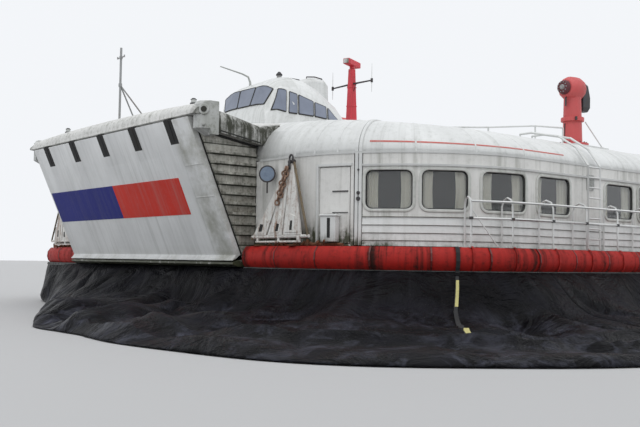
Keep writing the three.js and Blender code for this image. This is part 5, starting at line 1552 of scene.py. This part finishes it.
bm = bmesh.new()
for y in (0.44, -0.44):
    rod(bm, [(17.20, y, 7.98), (17.18, y, 8.11), (16.85, y * 1.05, 8.15), (16.50, y, 8.13), (16.45, y, 8.00)], 0.022)
    block(bm, (17.55, y - 0.07, 7.84), (18.00, y + 0.07, 7.96))
for y in (0.62, -0.70):
    plug(bm, (18.98, y, 7.53), UP, 0.07, 0.10, sides=14, tip=0.05)
LAMP_X = 18.05
plug(bm, (LAMP_X, 0.0, 8.10), UP, 0.11, 0.05, sides=18)
plug(bm, (LAMP_X, 0.0, 8.15), UP, 0.10, 0.08, sides=18, tip=0.04)
settle(bm, "control_cabin_fittings", dark_iron)
bm = bmesh.new()
plug(bm, (LAMP_X, 0.0, 7.88), UP, 0.085, 0.22, sides=18)
plug(bm, (17.45, 0.0, 7.85), UP, 0.10, 0.14, sides=18, tip=0.08)
settle(bm, "cabin_lamp_foot", steel)
bm = bmesh.new()
BOOM = [(18.96, 7.52, 0.05), (18.98, 7.80, 0.04), (19.06, 7.97, 0.032), (19.30, 8.04, 0.028), (20.20, 8.17, 0.018)]
rod(bm, [(x, -0.42, z) for x, z, _ in BOOM], [radius for _, _, radius in BOOM])
settle(bm, "cabin_boom", housing_grey)

# Radar mast
# A tapered square mast of red alloy with a slab scanner that turns on its head. A dark crossarm
# carries a pale whip aerial at each end.
MAST = {"x": 14.70, "top": 8.82, "arm": 8.24, "reach": 1.10}
mast_red = painted("mast_red", (0.62, 0.035, 0.055), (0.22, 0.05, 0.04), 0.6, 0.4, fine=1.5, dull=0.5)
bm = bmesh.new()
sweep(bm, [[Vector((MAST["x"] + u * half, v * half, z)) for u, v in ((1, 1), (-1, 1), (-1, -1), (1, -1))]
           for z, half in ((5.55, 0.185), (7.2, 0.14), (MAST["top"], 0.095))])
for z, half in ((6.4, 0.175), (7.4, 0.145), (8.1, 0.13)):
    block(bm, (MAST["x"] - half, -half, z), (MAST["x"] + half, half, z + 0.05))
mast = settle(bm, "radar_mast_body", mast_red)
ease(mast, 0.015)
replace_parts(mast, "radar_mast")
bm = bmesh.new()
rod(bm, [(MAST["x"], -1.12, MAST["arm"]), (MAST["x"], 0.0, MAST["arm"] + 0.02), (MAST["x"], 1.12, MAST["arm"])],
    [0.028, 0.036, 0.028])
for y in (-MAST["reach"], MAST["reach"]):
    plug(bm, (MAST["x"], y, MAST["arm"] - 0.07), UP, 0.045, 0.14, sides=12)
for y in (-0.26, 0.26):
    rod(bm, [(MAST["x"], y, MAST["arm"]), (MAST["x"], y * 0.35, MAST["arm"] - 0.30)], 0.014, sides=6)
settle(bm, "mast_crossarm", dark_iron)
bm = bmesh.new()
for y in (-MAST["reach"], MAST["reach"]):
    rod(bm, [(MAST["x"], y, MAST["arm"] + rise) for rise in (-0.42, 0, 0.62)], [0.010, 0.018, 0.008], sides=6)
settle(bm, "mast_whips", trim_white)

SCANNER = {"tip": 0.51, "half": 0.13, "low": 0.11, "top": 0.32, "turn": math.radians(24)}
turned = Matrix.Translation((MAST["x"], 0, MAST["top"])) @ Matrix.Rotation(SCANNER["turn"], 4, "Z")
bm = bmesh.new()
block(bm, (-SCANNER["tip"], -SCANNER["half"], SCANNER["low"]), (SCANNER["tip"], SCANNER["half"], SCANNER["top"]),
      turned)
plug(bm, (MAST["x"], 0, MAST["top"] + 0.015), UP, 0.10, 0.10, sides=16, tip=0.08)
slab = settle(bm, "scanner_slab", mast_red, "radar_scanner")
ease(slab, 0.03, segments=3)
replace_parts(slab, "radar_scanner")
bm = bmesh.new()
for tip in (-SCANNER["tip"], SCANNER["tip"]):
    block(bm, (tip - 0.012, -0.10, 0.135), (tip + 0.012, 0.10, 0.295), turned)
block(bm, (-0.46, -SCANNER["half"] - 0.01, 0.15), (0.46, -SCANNER["half"] + 0.01, 0.28), turned)
settle(bm, "scanner_faces", housing_grey, "radar_scanner")

# Bow mast rigging
# A thin pole stands on the bow box with two legs behind it. Each has a round plate at its foot, and
# the pole has two clamps and a pair of short pins.
MAST_X = 24.05
bm = bmesh.new()
for x, y in ((MAST_X, 0.0), (23.10, 0.45), (23.10, -0.45)):
    plug(bm, (x, y, on_box_top(x, y) - 0.01), UP, 0.10, 0.03, sides=12)
plug(bm, (MAST_X, 0, 6.90), UP, 0.055, 0.10, sides=12)
plug(bm, (MAST_X, 0, 7.76), UP, 0.05, 0.08, sides=12)
for y in (-0.22, 0.22):
    plug(bm, (MAST_X, y, 7.78), UP, 0.022, 0.07, sides=8)
settle(bm, "bow_mast_fittings", steel)

# Pylons
# Each propeller pylon is a red tube on a bolted flange, with a clamp collar half way up and a round
# gearbox head. The forward pair has lost its propellers, and a dark oil-cooler fairing hangs behind.
PYLON = {"x": 9.80, "y": 6.20, "hub": 7.85}
for side, label in SIDES:
    at = Vector((PYLON["x"], side * PYLON["y"], 0))
    bm = bmesh.new()
    for a in spread_round(16):
        plug(bm, at + Vector((0.48 * math.cos(a), 0.48 * math.sin(a), 5.905)), UP, 0.028, 0.04, sides=6)
    for a in (0.9, 0.9 + math.pi):
        edge = Vector((math.cos(a), math.sin(a), 0))
        block(bm, (-0.05, -0.03, -0.06), (0.09, 0.03, 0.06),
              Matrix.Translation(at + edge * 0.40 + UP * 6.75) @ Matrix.Rotation(a, 4, "Z"))
    rod(bm, [at + Vector((0.30, -0.10, 5.92)), at + Vector((0.31, -0.10, 6.6))], 0.022, sides=6)
    settle(bm, f"pylon_bolts_{label}", dark_iron, f"forward_pylon_{label}")
    bm = bmesh.new()
    sweep(bm, [[at + Vector((x, y, z)) for x, y in ((front, half), (back + 0.05, half), (back, half * 0.5),
                                                    (back, -half * 0.5), (back + 0.05, -half), (front, -half))]
               for z, back, front, half in ((8.12, -0.66, -0.50, 0.10), (8.02, -0.76, -0.40, 0.17),
                                            (7.60, -0.84, -0.36, 0.20), (7.25, -0.86, -0.38, 0.18),
                                            (7.10, -0.80, -0.46, 0.12))])
    block(bm, (at.x - 0.50, at.y - 0.06, 7.55), (at.x - 0.25, at.y + 0.06, 7.80))
    block(bm, (at.x + 0.36, at.y - 0.03, 7.20), (at.x + 0.41, at.y + 0.03, 7.52))
    fairing = settle(bm, f"oil_cooler_{label}", dark_iron, f"forward_pylon_{label}")
    ease(fairing, 0.03, segments=3)
    bm = bmesh.new()
    for a in spread_round(10):
        plug(bm, (10.385, at.y + 0.17 * math.cos(a), PYLON["hub"] + 0.17 * math.sin(a)), (1, 0, 0), 0.020, 0.03,
             sides=6)
    plug(bm, (10.38, at.y, PYLON["hub"]), (1, 0, 0), 0.10, 0.07, sides=20, tip=0.07)
    settle(bm, f"bare_hub_studs_{label}", steel, f"forward_hub_{label}")

bm = bmesh.new()
for side in (1, -1):
    y = side * PYLON["y"]
    block(bm, (9.05, y - 0.72, 5.755), (10.72, y + 0.72, 5.785))
    for reach in (0.55, -0.55):
        rod(bm, [(9.28, y + reach * 0.3, 6.72), (8.30, y + reach, crown(y + reach) - 0.02)], 0.022, sides=6)
    rod(bm, [(9.05, y + side * 0.72, 5.77), (8.15, y + side * 1.2, 5.40)], 0.03, sides=6)
settle(bm, "pylon_stays", trim_white)

# Propellers
# Each has four forged alloy blades, twisted and tapered, round a spun spinner. A pale band marks the
# tip of each blade.
PROP = {"x": -16.86, "y": 7.00, "z": 8.72, "turn": math.radians(8)}
# Blade sections: [distance out, chord, thickness, pitch in degrees]
BLADE = [[0.22, 0.16, 0.15, 60], [0.45, 0.24, 0.13, 54], [0.8, 0.38, 0.10, 46], [1.3, 0.44, 0.075, 38],
         [1.9, 0.46, 0.06, 31], [2.5, 0.43, 0.045, 26], [2.95, 0.36, 0.032, 22], [3.15, 0.26, 0.024, 20],
         [3.20, 0.14, 0.014, 20]]
AEROFOIL = [(0.5, 0.0), (0.42, 0.32), (0.25, 0.5), (0.0, 0.46), (-0.28, 0.24), (-0.5, 0.0), (-0.28, -0.14),
            (0.0, -0.28), (0.25, -0.30), (0.42, -0.18)]
blade_grey = painted("blade_grey", (0.20, 0.21, 0.22), (0.07, 0.065, 0.05), 0.4, 0.5)
for side, label in SIDES:
    at = Vector((PROP["x"], side * PROP["y"], PROP["z"]))
    blades, tips = bmesh.new(), bmesh.new()
    for i in range(4):
        spin = Matrix.Rotation(side * (PROP["turn"] + i * math.pi / 2), 3, "X")
        for bm, stations in ((blades, BLADE[:7]), (tips, BLADE[6:])):
            rows = []
            for out, chord, thick, pitch in stations:
                a = math.radians(pitch)
                section = [(chord * c, thick * t) for c, t in AEROFOIL]
                rows.append([at + spin @ Vector((u * math.sin(a) + v * math.cos(a),
                                                 side * (u * math.cos(a) - v * math.sin(a)), out))
                             for u, v in section])
            sweep(bm, rows)
    blades = settle(blades, f"propeller_blades_{label}", blade_grey, f"aft_propeller_{label}",
                    sharp=50)
    settle(tips, f"propeller_tips_{label}", trim_white, f"aft_propeller_{label}", smooth=True)
    bm = bmesh.new()
    spinner = [(-0.21, 0.10), (-0.21, 0.33), (-0.10, 0.34), (0.03, 0.31), (0.13, 0.25), (0.20, 0.16), (0.235, 0.05)]
    sweep(bm, [[at + Vector((x, radius * math.cos(a), radius * math.sin(a)))
                for a in spread_round(28)] for x, radius in spinner])
    settle(bm, f"propeller_spinner_{label}", mast_red, f"aft_propeller_{label}", sharp=45)
    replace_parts(blades, f"aft_propeller_{label}")

# Fins and rudders
# Riveted alloy skins, red all over. Raised strips follow the ribs inside them, and three hinges
# join each fin to its rudder.
FIN = {"nose": -19.80, "tail": -23.50, "low": 5.62, "top": 11.20, "thick": 0.44, "taper": 0.3, "end": 0.45}
RUDDER = {"nose": -23.56, "tail": -25.33, "low": 5.87, "top": 10.95, "thick": 0.185, "taper": 0.25, "end": 0.25}
FIN_Y = 7.00
# Levels of the strips that run along each, for a fin and then a rudder
STRIP_LEVELS = [(FIN, "fin", (6.3, 7.2, 8.1, 9.0, 9.9, 10.7)), (RUDDER, "rudder", (6.4, 7.5, 8.6, 9.7, 10.5))]


def blade_point(blade, side, face, share, z, out=0.0):
    """A point on one face of a fin or rudder, a share of the way from its nose to its tail."""
    narrow = blade["taper"] * (z - blade["low"]) / (blade["top"] - blade["low"])
    nose = blade["nose"] - (blade["nose"] - blade["tail"]) * narrow
    half = blade["thick"] * (1 - narrow) / 2
    wide = between([[0, 0.0], [0.12, half * 0.8], [0.38, half], [1.0, half * blade["end"]]], share)
    return Vector((nose + (blade["tail"] - nose) * share, side * FIN_Y + face * (wide + out), z))


for side, label in SIDES:
    for blade, body, levels in STRIP_LEVELS:
        bm = bmesh.new()
        for face in (1, -1):
            for z in levels:
                sweep(bm, [[blade_point(blade, side, face, share, z, out) + UP * rise for out, rise in
                            ((-0.01, -0.024), (0.009, -0.018), (0.009, 0.018), (-0.01, 0.024))]
                           for share in (0.12, 0.25, 0.38, 0.7, 0.97)])
            for share in (0.38, 0.74):
                sweep(bm, [[blade_point(blade, side, face, share, z, out) + Vector((step, 0, 0)) for step, out in
                            ((-0.018, -0.01), (-0.018, 0.01), (0.018, 0.01), (0.018, -0.01))]
                           for z in (blade["low"] + 0.12, blade["top"] - 0.15)])
        if body == "fin":
            for z in (6.4, 8.2, 10.2):
                block(bm, (-23.62, side * FIN_Y - 0.12, z), (-23.46, side * FIN_Y + 0.12, z + 0.12))
        settle(bm, f"{body}_strips_{label}", band_red, f"{body}_{label}")

# Feet of the stern pylons
# Bolts hold each plinth to the roof, along its two sides. They stand outside the sweep of the
# pylon's foot as it turns.
PLINTH_BOLTS = [(-0.82, 0.50), (-0.82, 0.25), (-0.55, 0.555), (-0.28, 0.555), (-0.01, 0.555), (0.62, 0.52)]
for side, label in SIDES:
    bm = bmesh.new()
    for x, y in PLINTH_BOLTS:
        for across in (-y, y):
            plug(bm, (x - 18.0, side * PROP["y"] + across, 5.475), UP, 0.032, 0.05, sides=6)
    settle(bm, f"stern_pylon_bolts_{label}", dark_iron)

# Stern
# The upper flap and the ramp have outside stiffeners, and rubber runs round their edges. Exhaust
# louvres stand on each side of them.
STERN_X = -25.30
STERN_HALF = 4.65


def stiffen(name, body, finish, half, across, low, top, levels):
    """Upright ribs on the outside of a leaf at the stern, crossed by level ones."""
    bm = bmesh.new()
    for y in across:
        block(bm, (STERN_X - 0.06, y - half, low), (STERN_X, y + half, top))
    for z in levels:
        block(bm, (STERN_X - 0.045, -STERN_HALF, z - half), (STERN_X, STERN_HALF, z + half))
    settle(bm, name, finish, body)


stiffen("stern_door_ribs", "stern_door", trim_white, 0.03, [-4.4 + 1.1 * i for i in range(9)], 3.80,
        5.10, (3.90, 4.45, 5.00))
stiffen("stern_ramp_ribs", "stern_ramp", deck_grey, 0.035, [-4.5 + 0.75 * i for i in range(13)], 2.66,
        3.62, (2.70, 3.14, 3.58))

bm = bmesh.new()
for side in (1, -1):
    block(bm, (STERN_X - 0.025, side * 4.82 - 0.05, 1.70), (STERN_X + 0.01, side * 4.82 + 0.05, 5.26))
block(bm, (STERN_X - 0.025, -4.86, 5.20), (STERN_X + 0.01, 4.86, 5.30))
settle(bm, "stern_frame_seal", seal_and_gap_shade)

bm = bmesh.new()
for side in (1, -1):
    for k in range(14):
        sweep(bm, [[Vector((STERN_X - out, side * y, 2.75 + 0.09 * k + rise)) for out, rise in
                    ((-0.005, 0.0), (0.05, 0.0), (0.01, 0.075), (-0.005, 0.075))] for y in (5.4, 8.1)])
    for z in (2.69, 4.02):
        block(bm, (STERN_X - 0.05, side * 6.75 - 1.4, z), (STERN_X + 0.01, side * 6.75 + 1.4, z + 0.05))
settle(bm, "exhaust_louvres", intake)

# Lamps and handholds over the stern door
# Two round lamps in steel bodies stand on each side, under the roof's edge. A bent bar beside the
# louvres is a handhold.
bm, lenses = bmesh.new(), bmesh.new()
for side in (1, -1):
    for y in (3.2, 4.4):
        plug(bm, (STERN_X + 0.01, side * y, 5.36), (-1, 0, 0.1), 0.07, 0.05, sides=16)
        plug(lenses, (STERN_X - 0.04, side * y, 5.365), (-1, 0, 0.1), 0.055, 0.03, sides=16, tip=0.03)
    rod(bm, [(STERN_X - out, side * 8.7, z) for out, z in ((0, 2.6), (0.12, 2.6), (0.12, 3.9), (0, 3.9))], 0.02)
settle(bm, "stern_lamp_bodies", steel)
settle(lenses, "stern_lamp_glasses", lamp_glass)

# Car deck
# Four steel lashing rails run the length of the hollow deck and stand a little proud of its floor.
# Cars are lashed down to them.
bm = bmesh.new()
for y in (-3.6, -1.2, 1.2, 3.6):
    block(bm, (-24.6, y - 0.05, 1.70), (21.6, y + 0.05, 1.716))
settle(bm, "deck_lashing_rails", steel)
